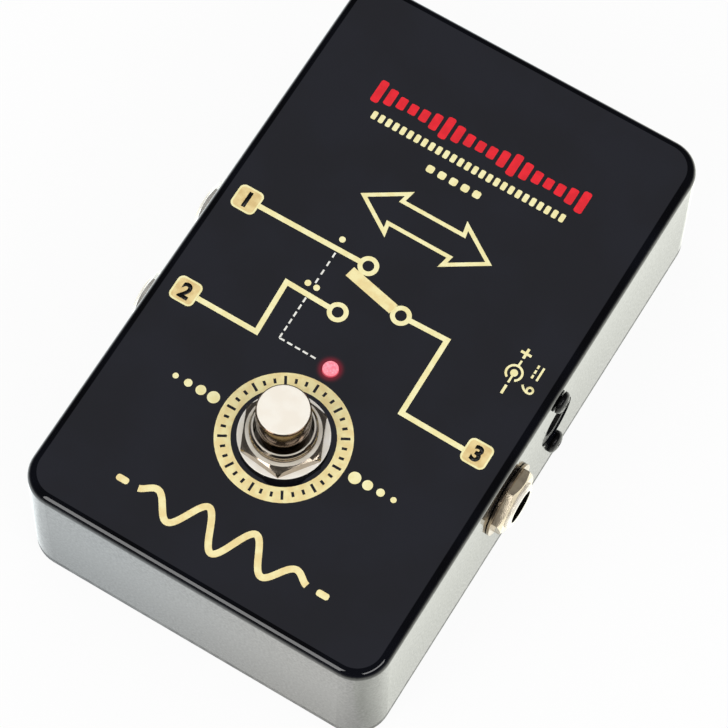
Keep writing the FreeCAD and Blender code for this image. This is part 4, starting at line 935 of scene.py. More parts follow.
class InkLayer:
    """Flat shapes of one ink, a few hundredths of a millimetre thick, on the top face.

    Each shape is a step higher than the one before it, so that none that overlap lie in one plane,
    and the steps start again after a few shapes. The mitre of a sharp corner stops growing where the
    cosine across it falls below blunt.
    """

    step: float = 0.002 * MM
    steps: int = 8
    blunt: float = 0.3

    def __init__(self, level: float, rise: float) -> None:
        """Start an empty layer.

        Args:
            level: height of the face it is printed on.
            rise: thickness of the ink.
        """
        self.level = level
        self.rise = rise
        self.work = bmesh.new()
        self.count = 0

    def thicken(self, faces: list[bmesh.types.BMFace]) -> None:
        """Turn flat faces into a thin closed shape, built in the same order on every run.

        Args:
            faces: the faces, all on the printed face.
        """
        self.count += 1
        lift = Vector((0, 0, self.rise + (self.count % self.steps) * self.step))
        corners = dict.fromkeys(corner for face in faces for corner in face.verts)
        edges = dict.fromkeys(edge for face in faces for edge in face.edges)
        rim = [(*edge.verts, edge.link_faces[0]) for edge in edges if edge.is_boundary]
        raised = {corner: self.work.verts.new(corner.co + lift) for corner in corners}
        for face in faces:
            self.work.faces.new([raised[corner] for corner in face.verts], face)
        for one, two, face in rim:
            self.work.faces.new((one, two, raised[two], raised[one]), face)

    def corner(self, x: float, y: float) -> bmesh.types.BMVert:
        """Corner on the printed face."""
        return self.work.verts.new((x, y, self.level))

    def plate(self, outline: Sequence[Point]) -> None:
        """Filled outline."""
        self.thicken([self.work.faces.new([self.corner(*point) for point in outline])])

    def band(self, left: Sequence[Point], right: Sequence[Point], closed: bool) -> None:
        """Filled strip between two lines with equally many points.

        Args:
            left: one line.
            right: the other line.
            closed: whether the strip joins its own start.
        """
        one, two = ([self.corner(*point) for point in line] for line in (left, right))
        count = len(one)
        last = count if closed else count - 1
        self.thicken([self.work.faces.new((one[i], one[(i + 1) % count], two[(i + 1) % count], two[i]))
                      for i in range(last)])

    def stroke(self, points: Sequence[Point], width: float, closed: bool = False) -> None:
        """Line of even width with mitred corners.

        Args:
            points: its corners.
            width: its width.
            closed: whether it joins its own start.
        """
        spots = [Vector(point) for point in points]
        count, sides = len(spots), ([], [])
        for i, spot in enumerate(spots):
            before = spots[i - 1] if closed or i else None
            after = spots[(i + 1) % count] if closed or i < count - 1 else None
            ways = [(b - a).normalized() for a, b in ((before, spot), (spot, after))
                    if a is not None and b is not None]
            along = sum(ways, Vector((0, 0))).normalized()
            across = Vector((-along.y, along.x))
            reach = width / 2 / max(self.blunt, abs(across.dot(Vector((-ways[0].y, ways[0].x)))))
            for side, line in zip((1, -1), sides):
                line.append(tuple(spot + side * reach * across))
        self.band(*sides, closed)

    def ring(self, centre: Point, outer: float, inner: float) -> None:
        """Round band about a centre."""
        self.band(arc(centre, outer), arc(centre, inner), True)

    def lettering(self, text: str, height: float, centre: Point, turn: float = 0.0,
                  weight: float = 0.0) -> None:
        """Upright letters about a centre.

        Args:
            text: plain letters or numbers.
            height: height of a capital letter.
            centre: middle of the printed word.
            turn: angle of its line, in radians.
            weight: how much the strokes are thickened.
        """
        curve = bpy.data.curves.new(text, "FONT")
        curve.body = text
        curve.offset = weight
        curve.resolution_u = 6
        mesh = plain_mesh(object_of(f"letters_{text}", curve))
        low, high = (Vector(map(pick, *(v.co for v in mesh.vertices))) for pick in (min, max))
        scale = height / (high.y - low.y)
        place = (Matrix.Translation((*centre, self.level)) @ Matrix.Rotation(turn, 4, "Z")
                 @ Matrix.Scale(scale, 4) @ Matrix.Translation(-(low + high) / 2))
        mesh.transform(place)
        before = set(self.work.faces)
        self.work.from_mesh(mesh)
        self.thicken([face for face in self.work.faces if face not in before])

    def piece(self, name: str, material: bpy.types.Material) -> bpy.types.Object:
        """Close the layer as one piece of the case.

        Args:
            name: the piece's name.
            material: its ink.
        Returns:
            The piece, in place.
        """
        bmesh.ops.recalc_face_normals(self.work, faces=self.work.faces)
        mesh = bpy.data.meshes.new(name)
        self.work.to_mesh(mesh)
        self.work.free()
        return dress(object_of(name, mesh), material, body_of("case_shell"))


def arc(centre: Point, radius: float, start: float = 0.0, sweep: float = math.tau,
        count: int = 64) -> list[Point]:
    """Points on an arc.

    Args:
        centre: its centre.
        radius: its radius.
        start: first angle, in radians.
        sweep: how far it turns; a full turn leaves out the repeated last point.
        count: how many points.
    Returns:
        The points in order.
    """
    steps = count if abs(sweep) == math.tau else count - 1
    angles = [start + sweep * i / steps for i in range(count)]
    return [(centre[0] + radius * math.cos(a), centre[1] + radius * math.sin(a)) for a in angles]


def rounded_box(centre: Point, width: float, height: float, corner: float,
                count: int = 7) -> list[Point]:
    """Outline of a box with rounded corners.

    Args:
        centre: its middle.
        width: its size across.
        height: its size upwards.
        corner: radius of its corners.
        count: how many points each corner has.
    Returns:
        The points, anticlockwise.
    """
    outline = []
    for index, (side, end) in enumerate(((1, 1), (-1, 1), (-1, -1), (1, -1))):
        middle = (centre[0] + side * (width / 2 - corner), centre[1] + end * (height / 2 - corner))
        outline += arc(middle, corner, index * math.pi / 2, math.pi / 2, count)
    return outline


def smooth_by_angle(mesh: bpy.types.Mesh, limit: float = math.radians(30)) -> None:
    """Shade a merged mesh smooth, apart from edges sharper than a limit in radians."""
    mesh.shade_smooth()
    mesh.set_sharp_from_angle(angle=limit)


@dataclass(frozen=True)
class Recess:
    """Cross recess for a screwdriver, cut into the head of every screw of a node.

    Its arms are narrower and shorter at the bottom, by the two shares.
    """

    width: float
    length: float
    depth: float
    outward: Vector
    bottom_width: float = 0.7
    bottom_length: float = 0.45

    def cutter(self, places: Sequence[Vector]) -> bpy.types.Object:
        """Tapered crosses that reach from outside each head to the recess's bottom.

        Args:
            places: middle of each head's outer face.
        Returns:
            One object with all the crosses.
        """
        work = bmesh.new()
        turn = self.outward.to_track_quat("Z", "Y").to_matrix().to_4x4()
        for place in places:
            for angle in (math.pi / 4, -math.pi / 4):
                bar = bmesh.ops.create_cube(work, size=1.0)["verts"]
                for vertex in bar:
                    deep = vertex.co.z < 0
                    length = self.length * (self.bottom_length if deep else 1.0)
                    width = self.width * (self.bottom_width if deep else 1.0)
                    vertex.co = Vector((vertex.co.x * length, vertex.co.y * width,
                                        -self.depth if deep else self.depth))
                move = Matrix.Translation(place) @ turn @ Matrix.Rotation(angle, 4, "Z")
                bmesh.ops.transform(work, matrix=move, verts=bar)
        mesh = bpy.data.meshes.new("recess_cutter")
        work.to_mesh(mesh)
        work.free()
        return object_of("recess_cutter", mesh)

    def cut(self, node: str, name: str, material: bpy.types.Material, slot: Slot) -> None:
        """Make a recessed copy of a CAD node's screws that stands for it.

        Args:
            node: the CAD node.
            name: the new piece's name.
            material: its material.
            slot: not used.
        """
        mesh = merged_copy(node)
        places = []
        for low, high in islands(mesh):
            middle, half = (low + high) / 2, (high - low) / 2
            reach = sum(abs(a * b) for a, b in zip(self.outward, half))
            places.append(middle + self.outward * reach)
        host, cutter = object_of(f"{name}_host", mesh), self.cutter(places)
        cut = host.modifiers.new("recess", "BOOLEAN")
        cut.operation = "DIFFERENCE"
        cut.solver = "EXACT"
        cut.use_self = True
        cut.object = cutter
        piece = object_of(name, plain_mesh(host))
        bpy.data.objects.remove(cutter)
        smooth_by_angle(piece.data)
        dress(piece, material, body_of(node), [node])


# Sub-assemblies


@dataclass
class Enclosure:
    """Die-cast case, its cover, the cover's screws and the feet."""

    finishes: Finishes
    recess_width: float = 0.75 * MM
    recess_length: float = 2.7 * MM
    recess_depth: float = 1.3 * MM

    def build(self) -> None:
        """Dress the case and cut the driver recesses of the cover screws."""
        paint_node("case_shell", self.finishes.material(Slot.CASE))
        paint_node("base_plate", self.finishes.material(Slot.COVER))
        paint_node("rubber_feet", self.finishes.material(Slot.FOOT))
        recess = Recess(self.recess_width, self.recess_length, self.recess_depth, Vector((0, 0, -1)))
        recess.cut("base_screws", "base_screws_recessed", self.finishes.material(Slot.ZINC), Slot.ZINC)


@dataclass(frozen=True)
class Panel:
    """Face that the marks are printed on, with the ink's thickness and its depth in the paint."""

    finishes: Finishes
    rise: float = 0.02 * MM
    sink: float = 0.004 * MM

    @property
    def level(self) -> float:
        """Height of the face."""
        return self.finishes.top

    def layer(self, lift: float = 0.0) -> InkLayer:
        """New ink layer, on the face or lifted onto ink that lies there already."""
        return InkLayer(self.level + lift - self.sink, self.rise)

    def run(self, tree: GeometryTree, name: str, ink: Slot | str, geometry: bpy.types.NodeSocket,
            base: bpy.types.Mesh | None = None) -> None:
        """Turn a tree into one printed piece of the case.

        Args:
            tree: the tree.
            name: the piece's name.
            ink: its ink, or the slot of the case's paint.
            geometry: what the tree gives.
            base: mesh that the tree reads, if any.
        """
        material = self.finishes.material(ink)
        piece = tree.run(name, geometry, material, base)
        dress(piece, material, body_of("case_shell"))


@dataclass(frozen=True)
class Arrow:
    """Outlined arrow with a head at each end, its corners measured from its middle."""

    middle: Point = (0.0, 19.8 * MM)
    reach: float = 12.9 * MM
    neck: float = 6.4 * MM
    barb: float = 0.4 * MM
    half_head: float = 4.45 * MM
    half_shaft: float = 2.5 * MM
    width: float = 0.75 * MM

    def draw(self, lines: InkLayer) -> None:
        """Draw it.

        Args:
            lines: the layer it goes on.
        """
        right = [(self.reach, 0.0), (self.neck - self.barb, self.half_head), (self.neck, self.half_shaft)]
        corners = right + [(-x, y) for x, y in reversed(right)]
        corners += [(-x, -y) for x, y in right[1:]] + [(x, -y) for x, y in reversed(right[1:])]
        lines.stroke([(self.middle[0] + x, self.middle[1] + y) for x, y in corners], self.width,
                     closed=True)


@dataclass(frozen=True)
class PlugSign:
    """Barrel plug sign, read from the right: a dot in an open ring between a minus and a plus.

    The stretches and the plus lie along Y, measured from the ring's centre.
    """

    centre: Point = (27.3 * MM, 4.1 * MM)
    dot: float = 0.7 * MM
    ring_outer: float = 1.68 * MM
    ring_inner: float = 1.25 * MM
    half_gap: float = math.radians(30)
    pin_stretch: Point = (-2.1 * MM, -0.6 * MM)
    sleeve_stretch: Point = (1.6 * MM, 2.7 * MM)
    minus_stretch: Point = (-4.5 * MM, -2.65 * MM)
    plus: float = 4.25 * MM
    arm: float = 1.05 * MM
    thin: float = 0.4 * MM
    bold: float = 0.5 * MM

    def draw(self, lines: InkLayer) -> None:
        """Draw it.

        Args:
            lines: the layer it goes on.
        """
        x, y = self.centre
        lines.plate(arc(self.centre, self.dot, count=32))
        start, sweep = self.half_gap - math.pi / 2, math.tau - 2 * self.half_gap
        lines.band(arc(self.centre, self.ring_outer, start, sweep, 40),
                   arc(self.centre, self.ring_inner, start, sweep, 40), False)
        for (low, high), width in ((self.pin_stretch, self.thin), (self.sleeve_stretch, self.thin),
                                   (self.minus_stretch, self.bold)):
            lines.stroke([(x, y + low), (x, y + high)], width)
        plus = y + self.plus
        lines.stroke([(x - self.arm, plus), (x + self.arm, plus)], self.bold)
        lines.stroke([(x, plus - self.arm), (x, plus + self.arm)], self.bold)


@dataclass(frozen=True)
class VoltageSign:
    """Supply voltage, read from the right, and the strokes that stand for direct current."""

    number: str = "9"
    height: float = 2.6 * MM
    weight: float = 0.012
    centre: Point = (30.8 * MM, 2.6 * MM)
    full_line: float = 31.4 * MM
    full_ends: Point = (7.6 * MM, 4.8 * MM)
    broken_line: float = 30.4 * MM
    dashes: tuple[float, ...] = (7.25 * MM, 6.2 * MM, 5.15 * MM)
    half_dash: float = 0.35 * MM
    width: float = 0.4 * MM

    def draw(self, marks: InkLayer) -> None:
        """Draw it.

        Args:
            marks: the layer it goes on.
        """
        marks.lettering(self.number, self.height, self.centre, -math.pi / 2, self.weight)
        marks.stroke([(self.full_line, y) for y in self.full_ends], self.width)
        for middle in self.dashes:
            marks.stroke([(self.broken_line, middle + self.half_dash),
                          (self.broken_line, middle - self.half_dash)], self.width)


@dataclass(frozen=True)
class Circuit:
    """The signal's way: lines from the jacks' boxes through two contacts and the lever between them.

    Each line starts a little under its box and its contact. What lies on other ink is lifted onto it.
    """

    panel: Panel
    box_a: Point = (-30.1 * MM, 8.1 * MM)
    box_b: Point = (-29.9 * MM, -12.7 * MM)
    box_c: Point = (29.5 * MM, -12.4 * MM)
    box_side: float = 4.9 * MM
    box_corner: float = 1.1 * MM
    rim: float = 0.35 * MM
    rim_corner: float = 0.93 * MM
    number: float = 3.2 * MM
    number_weight: float = 0.045
    contact_1: Point = (-5.0 * MM, 8.28 * MM)
    contact_2: Point = (-4.98 * MM, -2.17 * MM)
    pivot: Point = (4.84 * MM, 3.07 * MM)
    contact_outer: float = 1.93 * MM
    contact_inner: float = 1.05 * MM
    lever_tip: Point = (-7.26 * MM, 5.71 * MM)
    lever: float = 2.2 * MM
    line: float = 1.0 * MM
    start_b: float = -12.84 * MM
    bends_b: tuple[Point, Point] = ((-15.2 * MM, -12.86 * MM), (-15.7 * MM, -1.92 * MM))
    bends_c: tuple[Point, Point] = ((14.16 * MM, 3.3 * MM), (14.4 * MM, -12.7 * MM))
    end_c: float = -12.9 * MM
    under_box: float = 0.2 * MM
    under_contact: float = 0.12 * MM
    dots: tuple[Point, ...] = ((-11.6 * MM, 10.3 * MM), (-12.4 * MM, -0.1 * MM), (-10.6 * MM, -0.1 * MM))
    dot: float = 0.6 * MM
    on_line: float = 0.012 * MM
    on_box: float = 0.02 * MM
    on_rim: float = 0.03 * MM

    def build(self) -> None:
        """Print the lines and the signs in their ink, then what lies on them."""
        ink = self.panel.finishes.material
        lines = self.panel.layer()
        self.draw_lines(lines)
        Arrow().draw(lines)
        PlugSign().draw(lines)
        lines.piece("print_gold_lines", ink("gold_line"))
        lever = self.panel.layer(self.on_line)
        way = (Vector(self.lever_tip) - Vector(self.pivot)).normalized()
        lever.stroke([self.lever_tip, tuple(Vector(self.pivot) + way * self.contact_reach)], self.lever)
        lever.piece("print_gold_lever", ink("gold_fill"))
        self.jack_boxes()
        marks = self.panel.layer()
        for centre in self.dots:
            marks.plate(arc(centre, self.dot, count=24))
        VoltageSign().draw(marks)
        marks.piece("print_pale_marks_small", ink("gold_line"))

    @property
    def contact_reach(self) -> float:
        """Distance from a contact's centre at which a line starts."""
        return self.contact_outer - self.under_contact

    def draw_lines(self, lines: InkLayer) -> None:
        """Draw the lines and the contacts' rings.

        Args:
            lines: the layer they go on.
        """
        half, reach = self.box_side / 2 - self.under_box, self.contact_reach
        lines.stroke([(self.box_a[0] + half, self.box_a[1]),
                      (self.contact_1[0] - reach, self.contact_1[1])], self.line)
        lines.stroke([(self.box_b[0] + half, self.start_b), *self.bends_b,
                      (self.contact_2[0] - reach, self.contact_2[1])], self.line)
        lines.stroke([(self.pivot[0] + reach, self.pivot[1]), *self.bends_c,
                      (self.box_c[0] - half, self.end_c)], self.line)
        for centre in (self.contact_1, self.contact_2, self.pivot):
            lines.ring(centre, self.contact_outer, self.contact_inner)

    def jack_boxes(self) -> None:
        """Print the jacks' boxes with their paler rims and their numbers."""
        ink = self.panel.finishes.material
        boxes, rims = self.panel.layer(self.on_line), self.panel.layer(self.on_box)
        numbers = self.panel.layer(self.on_rim)
        inside = self.box_side - self.rim
        for text, centre in zip("123", (self.box_a, self.box_b, self.box_c)):
            boxes.plate(rounded_box(centre, self.box_side, self.box_side, self.box_corner))
            rims.stroke(rounded_box(centre, inside, inside, self.rim_corner), self.rim, closed=True)
            numbers.lettering(text, self.number, centre, weight=self.number_weight)
        boxes.piece("print_gold_boxes", ink("gold_box"))
        rims.piece("print_gold_rims", ink("gold_line"))
        numbers.piece("print_dark_numbers", ink("black"))


@dataclass(frozen=True)
class DashedLink:
    """Dashed line from the first contact's line past the second one's to the lens."""

    panel: Panel
    runs: tuple[tuple[Point, Point], ...] = (
        ((-11.3 * MM, 6.9 * MM), (-11.27 * MM, 1.1 * MM)),
        ((-11.2 * MM, -3.2 * MM), (-11.15 * MM, -11.2 * MM)),
        ((-10.6 * MM, -11.72 * MM), (-4.2 * MM, -11.76 * MM)),
    )
    pitch: float = 1.6 * MM
    width: float = 0.34 * MM
    length: float = 1.05 * MM
    height: float = 0.028 * MM

    def build(self) -> None:
        """Lay a dash at every pitch along each run, by Geometry Nodes."""
        level = self.panel.level + self.panel.rise / 2
        places = [(x, y, level) for run in self.runs for x, y in run]
        route = bpy.data.meshes.new("print_dashes_route")
        route.from_pydata(places, [(2 * i, 2 * i + 1) for i in range(len(self.runs))], [])
        tree = GeometryTree("print_dashes_tree")
        line = tree.add("GeometryNodeMeshToCurve", {0: tree.source.outputs[0]}).outputs[0]
        upright = tree.add("GeometryNodeSetCurveNormal", {"Curve": line}, mode="Z_UP").outputs[0]
        spots = tree.add("GeometryNodeCurveToPoints", {
            "Curve": upright, "Length": tree.size("Pitch", self.pitch)}, mode="LENGTH")
        dash = tree.add("GeometryNodeMeshCube", {
            "Size": tree.size("Dash", (self.width, self.height, self.length), "Vector")})
        placed = tree.add("GeometryNodeInstanceOnPoints", {
            "Points": spots.outputs["Points"], "Instance": dash.outputs[0],
            "Rotation": spots.outputs["Rotation"]}).outputs[0]
        self.panel.run(tree, "print_dashes", "white", placed, route)


@dataclass(frozen=True)
class SwitchRing:
    """Gold ring round the switch with dark ticks on it, and dots on either side.

    Every third tick is long, and each dot is smaller than the one before it.
    """

    panel: Panel
    outer: float = 12.17 * MM
    inner: float = 9.25 * MM
    ticks: int = 36
    long_every: int = 3
    shorter_by: float = 0.45
    tick_length: float = 1.7 * MM
    tick_width: float = 0.5 * MM
    tick_lift: float = 0.016 * MM
    dots: int = 4
    first_gap: float = 2.2 * MM
    dot_pitch: float = 2.6 * MM
    dot_radius: float = 1.15 * MM
    dot_step: float = 0.2 * MM

    @property
    def centre(self) -> Point:
        """The switch's axis, read from its washer."""
        axis = centre_of("switch_washer")
        return axis.x, axis.y

    def build(self) -> None:
        """Print the ring, its ticks and the dots."""
        ring = self.panel.layer()
        ring.ring(self.centre, self.outer, self.inner)
        ring.piece("print_switch_ring", self.panel.finishes.material("gold_fill"))
        self.tick_marks()
        dots = self.panel.layer()
        for side in (-1, 1):
            for index in range(self.dots):
                reach = self.outer + self.first_gap + self.dot_pitch * index
                centre = (self.centre[0] + side * reach, self.centre[1])
                dots.plate(arc(centre, self.dot_radius - self.dot_step * index, count=32))
        dots.piece("print_side_dots", self.panel.finishes.material("gold_line"))

    def tick_marks(self) -> None:
        """Lay the ticks round the ring's middle line, by Geometry Nodes."""
        tree = GeometryTree("print_ticks_tree")
        round_line = tree.add("GeometryNodeMeshCircle", {
            "Vertices": tree.size("Count", self.ticks, "Int"),
            "Radius": tree.size("Radius", (self.outer + self.inner) / 2)}).outputs[0]
        outward = tree.add("FunctionNodeAlignRotationToVector", {
            "Vector": tree.add("GeometryNodeInputPosition").outputs[0]}, axis="X").outputs[0]
        index = tree.add("GeometryNodeInputIndex").outputs[0]
        after_long = tree.math("FLOORED_MODULO", index, tree.size("Long Every", self.long_every))
        shorter = tree.math("MULTIPLY", tree.math("MINIMUM", after_long, 1.0),
                            tree.size("Shorter By", self.shorter_by))
        tick = tree.add("GeometryNodeMeshCube", {"Size": tree.size(
            "Tick", (self.tick_length, self.tick_width, self.panel.rise), "Vector")}).outputs[0]
        placed = tree.add("GeometryNodeInstanceOnPoints", {
            "Points": round_line, "Instance": tick, "Rotation": outward,
            "Scale": tree.vector(tree.math("SUBTRACT", 1.0, shorter), 1.0, 1.0)}).outputs[0]
        moved = tree.add("GeometryNodeTransform", {"Geometry": placed, "Translation": tree.size(
            "Centre", (*self.centre, self.panel.level + self.tick_lift), "Vector")}).outputs[0]
        self.panel.run(tree, "print_ring_ticks", Slot.CASE, moved)


@dataclass(frozen=True)
class BarRow:
    """Row of upright bars whose height may rise and fall along it.

    The swing is the share of the height that varies, and the phase is the angle from bar to bar, in
    radians.
    """

    name: str
    ink: str
    count: int
    pitch: float
    width: float
    height: float
    centre: Point
    swing: float = 0.0
    phase: float = 0.0
    corner_share: float = 0.3
    corner_steps: int = 4

    def build(self, panel: Panel) -> None:
        """Lay the bars side by side, by Geometry Nodes.

        Args:
            panel: the face they are printed on.
        """
        tree = GeometryTree(f"{self.name}_tree")
        gap, number = tree.size("Pitch", self.pitch), tree.size("Count", self.count, "Int")
        half = tree.math("MULTIPLY", tree.math("MULTIPLY", gap, tree.math("SUBTRACT", number, 1.0)), -0.5)
        row = tree.add("GeometryNodeMeshLine", {
            "Count": number, "Start Location": tree.vector(half, 0.0),
            "Offset": tree.vector(gap, 0.0)}).outputs[0]
        index = tree.add("GeometryNodeInputIndex").outputs[0]
        angle = tree.math("MULTIPLY", index, tree.size("Phase", self.phase))
        wave = tree.math("MULTIPLY", tree.math("ABSOLUTE", tree.math("SINE", angle)),
                         tree.size("Swing", self.swing))
        placed = tree.add("GeometryNodeInstanceOnPoints", {
            "Points": row, "Instance": self.bar(tree, panel),
            "Scale": tree.vector(1.0, tree.math("SUBTRACT", 1.0, wave), 1.0)}).outputs[0]
        moved = tree.add("GeometryNodeTransform", {"Geometry": placed, "Translation": tree.size(
            "Centre", (*self.centre, panel.level - panel.sink), "Vector")}).outputs[0]
        panel.run(tree, self.name, self.ink, moved)

    def bar(self, tree: GeometryTree, panel: Panel) -> bpy.types.NodeSocket:
        """Make one closed bar with rounded corners.

        Args:
            tree: the row's tree.
            panel: the face it is printed on.
        Returns:
            The bar, standing on its lower face.
        """
        outline = tree.add("GeometryNodeCurvePrimitiveQuadrilateral", {
            "Width": tree.size("Width", self.width),
            "Height": tree.size("Height", self.height)}).outputs[0]
        soft = tree.add("GeometryNodeFilletCurve", {
            "Curve": outline, "Radius": tree.size("Corner", self.corner_share * self.width),
            "Count": tree.size("Corner Steps", self.corner_steps, "Int")}, mode="POLY").outputs[0]
        flat = tree.add("GeometryNodeFillCurve", {"Curve": soft}, mode="NGONS").outputs[0]
        raised = tree.add("GeometryNodeExtrudeMesh", {
            "Mesh": flat, "Offset Scale": tree.size("Rise", panel.rise + panel.sink),
            "Individual": False}).outputs[0]
        under = tree.add("GeometryNodeFlipFaces", {0: flat}).outputs[0]
        return tree.add("GeometryNodeMergeByDistance", {
            "Geometry": tree.join(raised, under),
            "Distance": tree.size("Weld", panel.rise / 20)}).outputs[0]


@dataclass(frozen=True)
class WaveLine:
    """Gold wave line across the near end, which swells to its middle, with a dash past either end."""

    panel: Panel
    start: float = -17.0 * MM
    length: float = 34.0 * MM
    middle: float = -48.4 * MM
    height: float = 3.6 * MM
    turns: float = 3.5
    swell_power: float = 0.6
    steps: int = 120
    width: float = 1.25 * MM
    dash_reach: float = 20.2 * MM
    dash_length: float = 2.4 * MM
    dash_corner: float = 0.5 * MM

    def build(self) -> None:
        """Print the wave and its dashes."""
        points = []
        for index in range(self.steps + 1):
            share = index / self.steps
            swell = math.sin(math.pi * share) ** self.swell_power
            rise = self.height * swell * math.sin(math.tau * self.turns * share)
            points.append((self.start + self.length * share, self.middle + rise))
        wave = self.panel.layer()
        wave.stroke(points, self.width)
        for side in (-1, 1):
            wave.plate(rounded_box((side * self.dash_reach, self.middle), self.dash_length, self.width,
                                   self.dash_corner))
        wave.piece("print_gold_wave", self.panel.finishes.material("gold_fill"))


@dataclass(frozen=True)
class PanelPrint:
    """Printed panel: the signal's way through the switch, its ring, and plain ornaments."""

    finishes: Finishes
    rows: tuple[BarRow, ...] = (
        BarRow("print_red_bars", "red", 19, 2.35 * MM, 1.6 * MM, 4.8 * MM, (0.0, 39.0 * MM), 0.55, 0.52),
        BarRow("print_pale_marks", "gold_line", 27, 1.5 * MM, 0.95 * MM, 1.7 * MM, (0.0, 34.4 * MM)),
        BarRow("print_pale_squares", "gold_line", 5, 2.4 * MM, 1.5 * MM, 1.5 * MM,
               (-0.6 * MM, 30.4 * MM)),
    )

    def build(self) -> None:
        """Print every mark."""
        panel = Panel(self.finishes)
        for mark in (Circuit(panel), DashedLink(panel), SwitchRing(panel)):
            mark.build()
        for row in self.rows:
            row.build(panel)
        WaveLine(panel).build()


@dataclass
class FootSwitch:
    """Foot switch: plated outside parts, its thread, and the works under the panel."""

    finishes: Finishes
    pitch: float = 0.75 * MM
    ridge: float = 0.5 * MM
    crest: float = 0.09 * MM
    chamfer: float = 0.35 * MM
    run_out: float = 0.15
    wire: float = 0.5 * MM
    coils: float = 5.0
    nut_turn: float = math.radians(8)

    def build(self) -> None:
        """Dress the CAD nodes, turn the nut, then wind the thread and the return spring."""
        slots = {"nickel_washer": ("switch_washer",),
                 Slot.NICKEL: ("switch_bush", "switch_strap", "switch_inner_nut", "switch_lock_washer"),
                 Slot.CHROME: ("switch_cap",), Slot.PHENOLIC: ("switch_housing",),
                 Slot.NYLON: ("switch_pusher", "switch_rocker"),
                 Slot.CONTACT: ("switch_blades", "switch_lugs")}
        for slot, nodes in slots.items():
            for node in nodes:
                paint_node(node, self.finishes.material(slot))
        self.nut()
        self.thread()
        self.spring()

    def nut(self) -> None:
        """Outer nut, left as far round as it was tightened."""
        axis = centre_of("switch_nut")
        mesh = merged_copy("switch_nut")
        mesh.transform(Matrix.Translation(axis) @ Matrix.Rotation(self.nut_turn, 4, "Z")
                       @ Matrix.Translation(-axis))
        smooth_by_angle(mesh)
        piece = object_of("switch_nut_tightened", mesh)
        dress(piece, self.finishes.material(Slot.NICKEL), body_of("switch_nut"),
              ["switch_nut"])

    def thread(self) -> None:
        """Ridges of the bush's thread, from above its nut to below its chamfer."""
        axis = centre_of("switch_nut")
        base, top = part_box("switch_nut")[1].z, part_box("switch_bush")[1].z
        bush = self.bush_radius()
        turns = (top - self.chamfer - base) / self.pitch - 2 * self.run_out
        ridges = Helix(bush + self.crest - self.ridge / 2, self.pitch, turns, self.ridge, RIDGE_SIDES,
                       (axis.x, axis.y, base + self.run_out * self.pitch))
        piece = ridges.build("switch_bush_thread", self.finishes.material(Slot.NICKEL))
        dress(piece, self.finishes.material(Slot.NICKEL), body_of("switch_bush"))

    def bush_radius(self) -> float:
        """Read the radius of the bush's tube from its points above the nut.

        Returns:
            The radius in metres.
        """
        mesh = frame["nodes"]["switch_bush"].data
        axis = centre_of("switch_nut")
        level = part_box("switch_nut")[1].z
        return max(math.hypot(v.co.x - axis.x, v.co.y - axis.y) for v in mesh.vertices if v.co.z > level)

    def spring(self) -> None:
        """Return spring, wound to the size of the CAD node's spring and riding on the bush's body."""
        low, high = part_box("switch_spring")
        axis = centre_of("switch_spring")
        outer = (high.x - low.x) / 2
        height = high.z - low.z - self.wire
        coil = Helix(outer - self.wire / 2, height / self.coils, self.coils, self.wire, WIRE_SIDES,
                     (axis.x, axis.y, low.z + self.wire / 2))
        piece = coil.build("switch_spring_coil", self.finishes.material(Slot.SPRING))
        piece.data.shade_smooth()
        dress(piece, self.finishes.material(Slot.SPRING), body_of("switch_bush"),
              ["switch_spring"])
        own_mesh(piece)


@dataclass
class Indicator:
    """Indicator lens with its leads, on the board with its resistor."""

    finishes: Finishes

    def build(self) -> None:
        """Dress the lens, leads, board and resistor."""
        for node, slot in (("led_lens", Slot.LAMP), ("led_leads", Slot.TINNED),
                           ("circuit_board", Slot.BOARD), ("led_resistor", Slot.RESISTOR)):
            paint_node(node, self.finishes.material(slot))


@dataclass
class SignalJack:
    """One signal jack with its washer, nut and the end of its thread."""

    finishes: Finishes
    letter: str
    side: int
    pitch: float = 0.5 * MM
    ridge: float = 0.32 * MM
    crest: float = 0.06 * MM
    chamfer: float = 0.3 * MM

    def build(self) -> None:
        """Dress the CAD nodes and wind the thread outside the nut."""
        metal = self.finishes.material(f"nickel_bush_{self.letter}")
        paint_node(f"jack_{self.letter}_frame", metal)
        for part in ("washer", "nut"):
            plated = self.finishes.material(f"nickel_{part}_{self.letter}")
            paint_node(f"jack_{self.letter}_{part}", plated)
        for part, slot in (("wafers", Slot.PHENOLIC), ("rivets", Slot.BRASS),
                           ("tip_contact", Slot.CONTACT)):
            paint_node(f"jack_{self.letter}_{part}", self.finishes.material(slot))
        axis = centre_of(f"jack_{self.letter}_nut")
        nut, mouth = (max(abs(corner.x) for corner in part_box(f"jack_{self.letter}_{part}"))
                      for part in ("nut", "frame"))
        bush = self.bush_radius(axis, nut)
        length = mouth - nut - self.chamfer
        ridges = Helix(bush + self.crest - self.ridge / 2, self.pitch, length / self.pitch, self.ridge,
                       RIDGE_SIDES, (self.side * nut, axis.y, axis.z), (0.0, self.side * math.pi / 2, 0.0))
        piece = ridges.build(f"jack_{self.letter}_thread", metal)
        dress(piece, metal, body_of(f"jack_{self.letter}_frame"))

    def bush_radius(self, axis: Vector, nut: float) -> float:
        """Read the bush's radius from its points outside the nut.

        Args:
            axis: a point on the bush's axis.
            nut: how far out the nut reaches.
        Returns:
            The radius in metres.
        """
        mesh = frame["nodes"][f"jack_{self.letter}_frame"].data
        return max(math.hypot(v.co.y - axis.y, v.co.z - axis.z) for v in mesh.vertices
                   if self.side * v.co.x > nut)


